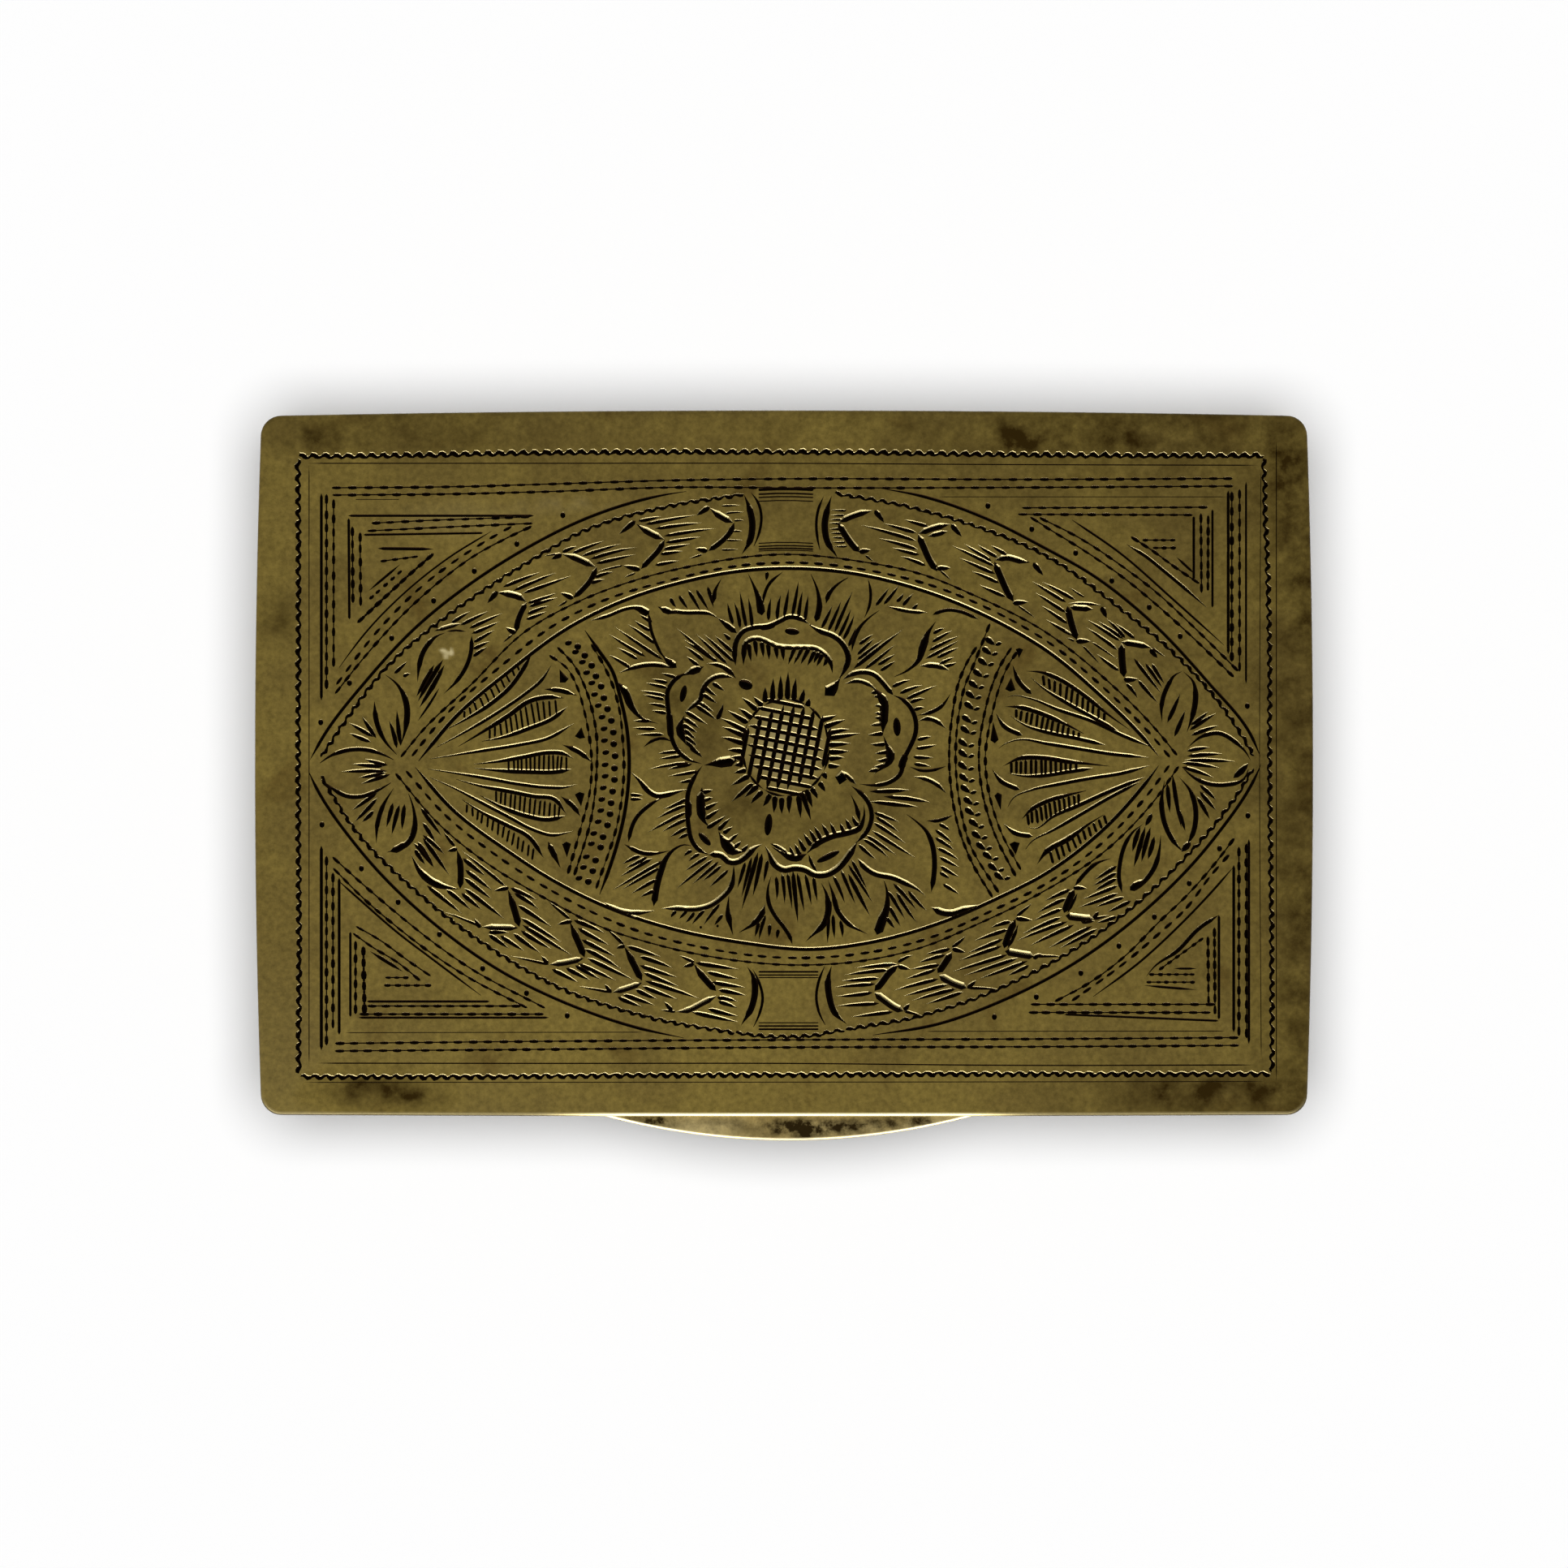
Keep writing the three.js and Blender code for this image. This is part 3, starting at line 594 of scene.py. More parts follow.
ticks(
    0.24, (10.3, 17.7, 7.7, 18.45), (10.3, 17.08, 5.9, 18.35), (10.4, 16.42, 7.3, 17.3),
    (10.5, 16, 8.35, 16.57), (11, 15.15, 9, 15.9), (11.2, 18.2, 9.3, 18.75), (16.4, 15.1, 12.95, 16.75),
    (16.1, 15.52, 13.95, 16.87), (16.6, 15.8, 15, 16.8), (17.3, 15.95, 16, 16.75), (16.4, 14.52, 13.6, 15.78),
    (16.7, 13.8, 14.5, 14.75), (17.2, 12.75, 15.1, 13.7), (21.9, 12.3, 19.2, 13.97), (22.6, 12.5, 20, 13.92),
    (21.9, 11.5, 19.45, 13.1), (22, 10.65, 19.9, 12.1), (22.4, 9.75, 20.3, 11), (26.1, 9.3, 23.4, 11.05),
    (26.3, 9.5, 24.3, 10.9), (26.45, 9.55, 25, 11.05), (27.2, 9.5, 25.7, 10.7), (25.9, 8.6, 23.4, 10.4),
    (26, 7, 24.2, 8.35), (26.5, 6.05, 27.4, 4.9), (27.4, 6.35, 29, 4.5), (27.1, 8, 29.3, 5.2),
    (28, 7.6, 29.4, 5.6), (28.5, 7.6, 29.5, 6),
)

# Garland from the clasp to the left along the front: each tip has a black edge and one that catches the light
for black, lit, end in (
    (
        ((-7, -15.65), (-6.5, -16.4), (-5.9, -17.1), (-5.25, -17.8)),
        ((-5.2, -18.15), (-6.3, -18.7), (-7.5, -19.28), (-8.4, -19.4)), (-9.6, -19.25),
    ),
    (
        ((-12.4, -14.3), (-11.9, -15.2), (-11.5, -16), (-11, -17)),
        ((-11, -17.15), (-12.1, -17.55), (-13.3, -17.9)), (-16, -17.4),
    ),
    (
        ((-16.6, -12.4), (-16.2, -13.4), (-15.8, -14.3), (-15.45, -15.2)),
        ((-15.5, -15.25), (-16.8, -15.55), (-18.2, -15.75)), (-21.3, -15.05),
    ),
    (
        ((-21.4, -9.9), (-21.1, -10.8), (-20.8, -11.8), (-20.5, -12.85)),
        ((-20.6, -12.9), (-22.2, -12.85), (-23.4, -12.82)), (-26.5, -11.6),
    ),
):
    cut(0.42, *black, rise=0.35, fall=0.15, bare=0.05)
    cut(0.16, *lit, rise=0.2, fall=0.25, bare=0.3)
    ticks(0.18, (*lit[-1], *end), rise=0.2)
cut(0.38, (-25.35, -6.8), (-25.1, -7.8), (-25.05, -8.8), (-25.1, -9.9), fall=0.15, bare=0.05)
cut(
    0.42, (-25.1, -9.9), (-26.3, -9.7), (-27.3, -9.3), (-28.2, -8.5), (-28.9, -7.2), rise=0.35, fall=0.4,
    bare=0.14,
)
ticks(
    0.28, (-6.95, -15.65, -7.85, -15.9), (-8.65, -19.35, -9.3, -18.6), (-12.3, -14.3, -13, -14.5),
    (-13.4, -17.95, -13.9, -17.25), (-16.4, -12.4, -17.6, -12.65), (-18.3, -15.75, -18.8, -15.05),
    (-21.3, -9.8, -22.5, -10.05), (-23.5, -12.9, -24, -12.15), (-25.3, -6.75, -26.1, -6.95),
    (-22.9, -13.25, -21.3, -13.25),
)
ticks(
    0.22, (-6.9, -15.6, -8.1, -15.03), (-12.4, -14.22, -13.75, -12.95), (-16.55, -12.25, -18.3, -10.8),
    (-25.5, -6.6, -26.4, -5.45), (-21.5, -9.75, -25, -6.9),
)
ticks(
    0.29, (-6.9, -15.6, -3.5, -16.1), (-6, -16.3, -3.5, -16.85), (-5.6, -17.1, -3, -17.5),
    (-5.1, -17.7, -2.9, -18.15), (-5.2, -18.3, -3.6, -18.6), (-5.1, -18.6, -3.6, -19.1),
    (-5.9, -19.15, -3.5, -19.75), (-7.2, -19.4, -3.5, -20.2), (-12.2, -14.3, -9.5, -15.15),
    (-11.2, -15.1, -8.6, -16), (-11.2, -15.8, -8.2, -16.75), (-10.9, -16.35, -8.1, -17.45),
    (-10.8, -17, -6.5, -18.4), (-11, -17.4, -8.2, -18.45), (-11.5, -17.65, -9.8, -18.4),
    (-12.5, -18.05, -10, -18.9), (-12.9, -18.25, -11, -19), (-16.3, -12.3, -13.9, -13.3),
    (-16, -12.9, -13.5, -14.25), (-15.7, -13.8, -13, -15.15), (-15.5, -14.5, -12.6, -16.1),
    (-15.3, -15.2, -11.6, -16.95), (-16, -15.65, -13, -17), (-16.2, -15.8, -14.2, -16.9),
    (-16.9, -16, -15, -16.95), (-18, -16.1, -15.9, -17.15), (-21.2, -9.8, -19.1, -10.75),
    (-20.9, -10.2, -19, -11.45), (-20.65, -11.1, -17.95, -12.85), (-20.4, -12.1, -17.2, -14.05),
    (-20.3, -12.65, -16.4, -15.05), (-20.4, -13.1, -18, -14.55), (-21, -13.3, -18.85, -14.85),
    (-22, -13.5, -20.1, -14.7), (-22.9, -13.4, -21.3, -14.5), (-24.9, -7.5, -23.1, -8.9),
    (-24.7, -8.4, -22.6, -10), (-24.8, -9, -22.6, -10.7), (-24.8, -9.8, -21.6, -12.25),
    (-25, -10.2, -23.4, -11.5), (-26.2, -9.9, -24.2, -11.55), (-27.7, -9.6, -24.9, -11.85),
    (-28, -5.9, -25.9, -8.85), (-28.4, -6.2, -27.1, -8.25), (-28.6, -6.8, -27.8, -8),
)

# Garland from the clasp to the right along the front
for black, lit, end in (
    (
        ((8.9, -15.75), (8.2, -16.3), (7.6, -17.1), (7, -17.8)),
        ((7, -17.9), (7.8, -18.5), (8.6, -19.05), (9.3, -19.35)), (10.8, -19.75),
    ),
    (
        ((13, -14.75), (12.6, -15.4), (12.2, -16), (11.9, -16.4)),
        ((12, -16.55), (13, -17.1), (14.2, -17.55)), (16.9, -17.7),
    ),
    (
        ((17.95, -12.2), (17.45, -13.3), (17.05, -14.5)), ((17.1, -14.7), (18.2, -14.9), (19.4, -15.1)),
        (21.7, -15.15),
    ),
    (
        ((22.5, -9.85), (22, -10.9), (21.7, -11.75)), ((21.8, -11.95), (22.8, -12.1), (24, -12.2)),
        (25.2, -11.9),
    ),
):
    cut(0.4, *black, rise=0.2, fall=0.15, bare=0.1)
    cut(0.26, *lit, rise=0.15, fall=0.15, bare=0.3)
    ticks(0.2, (*lit[-1], *end), rise=0.2)
cut(0.24, (18.15, -12.6), (17.7, -13.8), (17.25, -14.6))
cut(0.22, (22.75, -10.2), (22.35, -11), (21.95, -11.8))
cut(0.26, (25.4, -7.5), (24.2, -7.9), (23.2, -8.8), (22.5, -9.7), rise=0.4, fall=0.15)
cut(0.26, (26.2, -10.2), (25.95, -9), (26.05, -7.8), (26.4, -6.5), (27, -5.5), (27.9, -4.8), rise=0.1)
cut(0.3, (27, -10), (28, -9.2), (28.7, -8.2), (29.1, -6.8), (29.2, -5.6), rise=0.1, fall=0.4)
ticks(0.5, (26.8, -10, 28, -9.15), rise=0.4)
ticks(
    0.3, (27.6, -5, 27, -7), (28, -5, 27.1, -8.2), (28.4, -5.1, 27.7, -7.8), (28.7, -5.8, 28.2, -7.6),
    (28.5, -4, 28, -5), rise=0.5,
)
ticks(
    0.3, (9.3, -19.3, 9.75, -18.75), (8.8, -15.85, 9.8, -16.1), (14.2, -17.6, 14.9, -16.95),
    (13, -14.5, 14.1, -14.8), (19.3, -15.3, 20, -14.9), (17.9, -12.15, 19.3, -12.3),
    (24.05, -12.25, 24.4, -11.6), (22.4, -9.8, 23.5, -9.85), (23, -12.4, 24.1, -12.35),
)
ticks(0.22, (8.8, -15.6, 10, -15), (13, -14.4, 14.1, -13.5), (18, -12, 19.2, -11))
ticks(
    0.26, (8.8, -15.7, 5.5, -16), (8.2, -16.15, 4.7, -16.55), (7.4, -16.8, 4.4, -17),
    (7.1, -17.25, 3.9, -17.5), (6.9, -17.9, 4, -18.2), (7.4, -18.75, 4, -18.95), (8.5, -19.4, 5.2, -19.8),
    (12.9, -14.5, 11, -14.9), (12.5, -15, 10.4, -15.6), (12.1, -15.75, 9.8, -16.1),
    (11.8, -16.1, 9.4, -16.85), (12, -16.85, 8.5, -17.75), (12.8, -17.25, 9.2, -18.2),
    (13.4, -17.6, 9.9, -18.55), (13.9, -17.85, 11, -18.8), (17.6, -12.4, 16, -12.9), (17.4, -13, 14.7, -13.9),
    (17, -13.75, 14.2, -14.85), (16.9, -14.3, 13.5, -15.45), (17.4, -14.95, 13, -16.3),
    (18.2, -15.2, 13.9, -16.6), (18.9, -15.45, 15.1, -16.85), (19, -15.8, 17.3, -16.6),
    (22.2, -9.9, 20.2, -10.8), (21.9, -10.6, 19.6, -11.75), (21.6, -11.4, 19.3, -12.35),
    (21.5, -12.05, 18.4, -13.4), (22, -12.4, 18, -13.9), (22.5, -12.65, 19, -14.3),
    (23.9, -12.75, 20.4, -14.5), (24.3, -12.95, 21.3, -14.5), (25.8, -12, 24.2, -12.5),
    (25.8, -8.1, 24, -9.2), (25.8, -8.6, 23.9, -9.65), (25.8, -9.05, 24, -10.05), (25.9, -9.6, 23.1, -10.7),
    (25.9, -10.2, 22.8, -11.3), (26.4, -10.5, 24.1, -11.3), (26.9, -10.8, 25, -11.7),
)

# Spray of three leaves in the left point
cut(0.3, (-29.8, 0.3), (-31, 1.7), (-31.6, 3.2), (-31.75, 4.7), rise=0.5, fall=0.2)
cut(0.34, (-31, 6.8), (-30, 6), (-29.4, 5), (-29.2, 4), (-29.3, 2.7), (-29.7, 1.2), rise=0.4)
cut(0.28, (-36.2, -0.3), (-35, 0.5), (-33.7, 0.9), (-32.3, 0.9), (-31, 0.5), (-30, 0))
cut(0.28, (-36.1, -1.2), (-35, -2.1), (-33.8, -2.7), (-32.7, -2.7), (-31.5, -2.25), (-30.2, -1.5))
cut(0.28, (-30.2, -2), (-31.1, -3.5), (-31.5, -4.8), (-31.6, -6.4), rise=0.4)
cut(
    0.34, (-29.2, -2.2), (-28.7, -3.7), (-28.6, -5), (-28.9, -6), (-29.8, -6.75), (-30.8, -7.05), rise=0.5,
    fall=0.2,
)
cut(0.44, (-30.6, -7), (-29.9, -6.75), (-29.1, -6.2), bare=0.06)
ticks(
    0.27, (-29.7, 1.2, -30, 4), (-30, 1, -30.6, 3.2), (-30.7, -0.3, -32.5, 0.2), (-31, -0.4, -33.5, -0.2),
    (-30.7, -0.75, -34.4, -0.8), (-30.8, -0.85, -33, -1.25), (-30.5, -1, -32.8, -1.75),
    (-30.3, -3.2, -30.8, -5.1), (-29.8, -3.3, -30.4, -5.7), (-29.4, -3.3, -29.6, -5.3),
    (-31.8, 1.9, -33.7, 3), (-32, 1.5, -33.7, 2.2), (-31.6, 1.8, -32.7, 3.5), (-31.5, -2.4, -33.5, -3.8),
    (-31.5, -2.8, -33.3, -4.7), (-31.8, -3.8, -32.7, -4.7), (-28.2, -3.5, -26.5, -5.8),
    (-28, -4.7, -27, -6.3), (-28, -5.7, -26.3, -7.2), (-28.7, -6.3, -27.2, -8.2), rise=0.4,
)

# Spray of three leaves in the right point
cut(0.28, (29.3, 3), (29.25, 4.3), (29.7, 5.8), (30.3, 6.7), (30.9, 7))
cut(0.32, (30.9, 7), (31.7, 6.2), (31.9, 5), (31.7, 3.7), (31.2, 2.2), rise=0.4)
cut(0.28, (31.2, 1), (32.3, 1.9), (33.7, 2.2), (35, 1.5), (35.8, 0.7), (36.2, 0))
cut(0.28, (30.7, -0.3), (31.7, -1.2), (33, -1.75), (34.3, -1.8), (35.6, -1.4), (36.1, -0.3))
cut(0.3, (29.5, -1.4), (29.25, -3.3), (29.5, -4.8), (30.2, -6.2), (31, -7.1), fall=0.2)
cut(0.3, (30.6, -1.2), (31.5, -2.3), (31.9, -3.7), (31.8, -5.2), (31.1, -6.8), fall=0.2)
ticks(0.4, (34.8, -1.3, 36, -0.1), (31.5, -6.2, 30.8, -7), rise=0.5)
ticks(
    0.27, (29.7, 3, 30.7, 5.25), (30.25, 1.9, 31.1, 4), (31.2, 0.8, 33, 1.1), (31.2, 0.4, 34, 0.6),
    (31, 0.1, 35, 0), (30.8, -0.1, 33.8, -0.5), (30.8, -0.4, 33.3, -1.25), (30.1, -1, 30.8, -5.2),
    (29.7, -1.7, 29.9, -4), (31.5, 2.8, 32.9, 3.9), (31.4, 2.4, 33.5, 3.75), (31.5, 2, 33.7, 2.8),
    (32.2, -1.8, 33.5, -3), (32.2, -2.3, 33.5, -3.8), (32, -2.7, 33, -4.5), (30.5, -3.6, 31.1, -5.4),
    rise=0.4,
)

# Bowed bands beside the rose: two dashed lines on each side of a row of punched beads
for thread, *points in (
    (
        0.06, (-18.3, 8.3), (-16.8, 7.2), (-16, 5.7), (-15.5, 4), (-15.1, 2), (-14.9, 0), (-15, -2),
        (-15.9, -5.7), (-16.8, -8.9),
    ),
    (
        0.1, (-17.7, 9), (-16.3, 7.5), (-15.4, 5.7), (-14.8, 3.7), (-14.5, 1.7), (-14.5, -0.3), (-14.9, -4.2),
        (-16.3, -9),
    ),
    (
        0.06, (-15, 9.2), (-14, 7.5), (-13.2, 5.7), (-12.7, 3.7), (-12.5, 1.7), (-12.4, -0.3), (-12.8, -4.3),
        (-14.6, -10),
    ),
):
    stitch(*points, pitch=1.05, thread=thread)
cut(
    0.24, (-15.6, 10.4), (-14.5, 8.8), (-13.3, 7), (-12.7, 5), (-12.2, 2.7), (-12, 0.3), (-12.3, -3.7),
    (-13.6, -8.5), (-14.4, -10.6), rise=0.08, fall=0.08,
)
for thread, *points in (
    (
        0.12, (15, 9), (14.2, 7.7), (13.5, 6), (13.1, 4), (12.8, 0), (12.9, -1.7), (13.7, -5.7), (14.5, -7.7),
        (16.2, -10.6),
    ),
    (0.08, (16, 10.8), (14.7, 7.5), (14, 5.8), (13.6, 4), (13.3, 0), (13.75, -4), (14.25, -6), (16.7, -10.3)),
    (0.12, (17.75, 9), (16.8, 7.5), (16.1, 5.8), (15.6, 4), (15.1, 0), (15.25, -1.7), (16.2, -5.3), (18, -9)),
    (
        0.08, (18.2, 8.7), (17.3, 7.3), (16.7, 5.8), (16.2, 4), (15.6, 0), (15.75, -1.7), (16.75, -5.3),
        (18.4, -8.5),
    ),
):
    stitch(*points, pitch=1.05, thread=thread)
left_beads = smooth((
    (-16.4, 9.2), (-15.2, 7.4), (-14.4, 5.6), (-13.8, 3.7), (-13.5, 1.7), (-13.45, -0.3), (-13.9, -4.3),
    (-14.7, -7), (-15.5, -9.4),
))
right_beads = smooth((
    (16.4, 9.4), (15.7, 7.5), (15, 5.8), (14.6, 4), (14.3, 2), (14.2, 0), (14.3, -1.7), (14.7, -3.7),
    (15.2, -5.7), (17.1, -9.3),
))
for x, y in at(left_beads, np.linspace(0.01, 0.99, 22)) + hand.normal(0, 0.04, (22, 2)):
    pit(0.34, (x - 0.68, y + 0.08, x - 0.14, y + 0.24))
    pit(0.44, (x + 0.04, y - 0.16, x + 0.58, y - 0.08))
for x, y in at(right_beads, np.linspace(0.01, 0.99, 22)) + hand.normal(0, 0.04, (22, 2)):
    ticks(0.38, (x - 0.68, y + 0.5, x + 0.08, y - 0.12), rise=0.35)
    ticks(0.24, (x + 0.05, y - 0.14, x + 0.58, y + 0.08), rise=0.6)

# Palmette in the left end: five petals, ribbed across
petal_edge = partial(cut, rise=0.4, fall=0.12, bare=0.075)
ribs = partial(hatch, rise=0.15, fall=0.15, jitter=0.03)
petal_edge(0.26, (-26.5, 2.3), (-24.7, 3.25), (-22.7, 4.5), (-21.2, 5.8), (-20.2, 7.2), (-19.5, 8.5))
ribs(11, 0.13, ((-25, 3.2), (-22.7, 4.6), (-20.3, 7.2)), ((-25, 3.75), (-23, 5.6), (-20.5, 7.7)))
petal_edge(0.2, (-27.5, 0.8), (-24.7, 2.3), (-22.2, 3.8), (-20, 5.3), (-18.8, 6.3), (-18, 7.5))
cut(0.3, (-25.5, 1), (-23.5, 2.2), (-21.3, 3.6), (-19.7, 4.7), (-18.3, 5), (-17, 4.9), rise=0.4, fall=0.1)
petal_edge(0.26, (-23.7, 1.5), (-21.7, 1.9), (-19.7, 2.6), (-18, 3.3), (-16.75, 4.25))
ribs(
    13, 0.13, ((-23, 2.4), (-21, 3.75), (-19.5, 4.7), (-17.5, 4.85)),
    ((-23, 1.7), (-21, 2.2), (-19.5, 2.7), (-17.5, 3.7)),
)
petal_edge(0.2, (-28, 0.1), (-25.5, 0.5), (-23, 0.9), (-20.5, 1.3), (-18.3, 1.8), (-16.2, 3))
petal_edge(0.26, (-24.3, -0.25), (-22.2, 0), (-20, 0.4), (-18.3, 0.7), (-17, 0.6), (-16.3, 0.2))
petal_edge(0.28, (-24.3, -0.5), (-22, -0.7), (-19.7, -0.8), (-17.7, -0.8), (-16.4, -0.6), fall=0.1)
ribs(14, 0.13, ((-21.5, 0.15), (-18.5, 0.65), (-16.7, 0.4)), ((-21.5, -0.7), (-18.5, -0.8), (-16.7, -0.7)))
petal_edge(
    0.2, (-28.2, -0.5), (-25.5, -0.9), (-23, -1.3), (-20.5, -1.75), (-18.3, -2), (-17, -2), (-16, -1.75),
)
petal_edge(0.26, (-25.7, -1.3), (-23.5, -1.9), (-21.3, -2.3), (-19.3, -2.7), (-17.8, -2.9), (-16.85, -4.1))
petal_edge(0.28, (-23.8, -2.5), (-21.7, -3.6), (-19.8, -4.25), (-18.3, -4.5), (-16.9, -4.2), fall=0.1)
ribs(14, 0.13, ((-22.5, -2.15), (-20, -2.6), (-17.2, -3.4)), ((-22.5, -3.1), (-20, -4.15), (-17.2, -4.35)))
petal_edge(
    0.2, (-28, -1), (-25.7, -2), (-23.3, -3.25), (-21.3, -4.3), (-19.5, -5.25), (-18, -5.7), (-16.3, -5.4),
)
petal_edge(0.26, (-25.2, -2.8), (-23.3, -4), (-21.3, -5), (-19.8, -5.8), (-18.6, -7.5))
ribs(14, 0.13, ((-24.8, -3.2), (-22, -4.7), (-19.2, -6.8)), ((-24.8, -3.9), (-22, -5.9), (-19.3, -7.8)))
cut(0.34, (-18.3, -6.2), (-17.3, -8.3), rise=0.2, fall=0.5)
cut(0.3, (-18.6, 5.6), (-17.3, 5.5), (-16, 5.1))
cut(0.3, (-17.2, 1.3), (-16, 0.8), (-14.8, -0.1))
cut(0.3, (-17.3, -2.7), (-16.3, -3.5), (-15.75, -4.3))

# Palmette in the right end, cut with a little more shade
petal_edge = partial(cut, rise=0.4, fall=0.12, bare=0.07)
cut(0.28, (18.7, 7), (20, 6.9), (21.3, 6.4), (23.3, 5.1), (25.3, 3.5), (27, 2.3), rise=0.2, fall=0.4)
petal_edge(0.24, (18.9, 6.7), (20, 5.75), (22, 4.5), (24, 3.4), (26, 2.3))
ribs(12, 0.17, ((19.8, 6.8), (22, 5.9), (25, 3.7)), ((20, 5.9), (22, 4.6), (25, 3)))
petal_edge(0.29, (17.7, 7.5), (18.2, 6.2), (19.2, 5.2))
petal_edge(0.22, (16.8, 4.7), (17.7, 5.1), (19, 4.9), (21.3, 4), (23.7, 3.2), (26.3, 2), (28.5, 1.1))
cut(0.3, (17.1, 4.25), (18.3, 4.2), (20, 3.7), (21.8, 2.9), (23.5, 2), rise=0.2, fall=0.4)
petal_edge(0.24, (17.3, 3.7), (18.7, 2.8), (20.7, 2.2), (22.7, 1.8), (25, 1.25))
ribs(13, 0.17, ((17.8, 4.15), (20, 3.65), (23, 2.2)), ((17.8, 3.4), (20, 2.4), (23, 1.7)))
petal_edge(0.29, (16.4, 3.75), (17, 2.8), (18.5, 2))
petal_edge(0.22, (16.2, 0.6), (17.2, 1.4), (18.3, 1.7), (20.3, 1.4), (22.8, 1), (25.3, 0.6), (28.3, 0.3))
cut(0.3, (16.9, -0.4), (18.3, 0.25), (20, 0.3), (22, 0), (23.7, -0.2), (25.5, -0.4), rise=0.2, fall=0.4)
petal_edge(0.24, (17, -0.8), (18.3, -1.1), (20, -1.1), (22, -0.8), (24, -0.5))
ribs(14, 0.17, ((17.4, 0), (20, 0.3), (22.8, -0.1)), ((17.4, -0.95), (20, -1.1), (22.8, -0.7)))
petal_edge(0.29, (16.1, -0.6), (16.8, -1.5), (18.3, -2.2))
petal_edge(
    0.22, (17.1, -4.1), (17.8, -2.8), (19.2, -2.2), (21.3, -1.75), (23.7, -1.3), (26.2, -0.9), (28.4, -0.3),
)
cut(0.28, (18.4, -4.5), (19.2, -3.7), (20.3, -3.1), (22, -2.6), (23.7, -2.2), rise=0.2, fall=0.4)
petal_edge(0.26, (18.5, -5), (19.5, -5.2), (20.8, -4.3), (22.8, -3.4), (25, -2.4), (28, -1.2))
ribs(12, 0.17, ((18.7, -4.1), (20.4, -3.1), (23, -2.4)), ((18.7, -5), (20.4, -4.6), (23, -3.3)))
petal_edge(0.29, (17, -4.8), (17.8, -5.5), (19.3, -5.8))
petal_edge(0.22, (18.4, -7.3), (19.2, -6.2), (20.7, -5.4), (22.8, -4.2), (25.2, -2.8), (27.7, -1.5))
cut(0.34, (19.6, -8), (20.3, -7), (22, -6), (23.7, -4.8), (25, -4), rise=0.2, fall=0.5)
ribs(11, 0.17, ((20.4, -7), (22.4, -5.75), (25, -4)), ((20.7, -8.1), (22.6, -6.8), (25.2, -4.7)))

# Wedges punched between the petals of both palmettes, each given by its thick end, its tip and its width
for x0, y0, x1, y1, width in (
    (-16.95, 6.1, -17.4, 7.15, 0.65), (-15.83, 1.75, -15.7, 2.65, 0.7), (-15.85, -2.35, -15.72, -3.5, 0.65),
    (-16.85, -6.2, -16.82, -7.45, 0.6), (18.25, 8.8, 18.2, 8, 0.5), (17.52, 5.4, 17.6, 6.5, 0.7),
    (16.33, 1.4, 16.2, 3.1, 0.55), (16.55, -2.4, 16.8, -3.8, 0.5), (17.85, -6.2, 17.95, -7.25, 0.7),
):
    cut(width, (x0, y0), ((x0 + x1) / 2, (y0 + y1) / 2), (x1, y1), rise=0.15, fall=0.85, bare=0.02)

# Rose: a cross-hatched disc with a fringe, and five petals whose turned edges are hatched below the lip
disc_x, disc_y, disc_across, disc_up = 0.12, 1.08, 3.37, 3.75
for offset in np.arange(-4, 5) * 0.8:
    reach = 3.44 * np.sqrt(1 - (offset / 3.6) ** 2)
    cut(
        0.27, (disc_x + offset - 0.2 * reach, disc_y - reach),
        (disc_x + offset + 0.2 * reach, disc_y + reach), rise=0.1, fall=0.1,
    )
for offset in np.arange(-4.5, 5) * 0.76:
    reach = 3.07 * np.sqrt(1 - (offset / 3.95) ** 2)
    cut(
        0.25, (disc_x - reach, disc_y + offset + 0.2 * reach),
        (disc_x + reach, disc_y + offset - 0.2 * reach), rise=0.1, fall=0.1, bare=0.06,
    )
ring = np.linspace(0, 2 * np.pi, 49)
for start in range(0, 48, 4):
    arc = ring[start : start + 5]
    cut(0.2, *zip(disc_x + disc_across * np.cos(arc), disc_y + disc_up * np.sin(arc)), rise=0.4, fall=0.4)
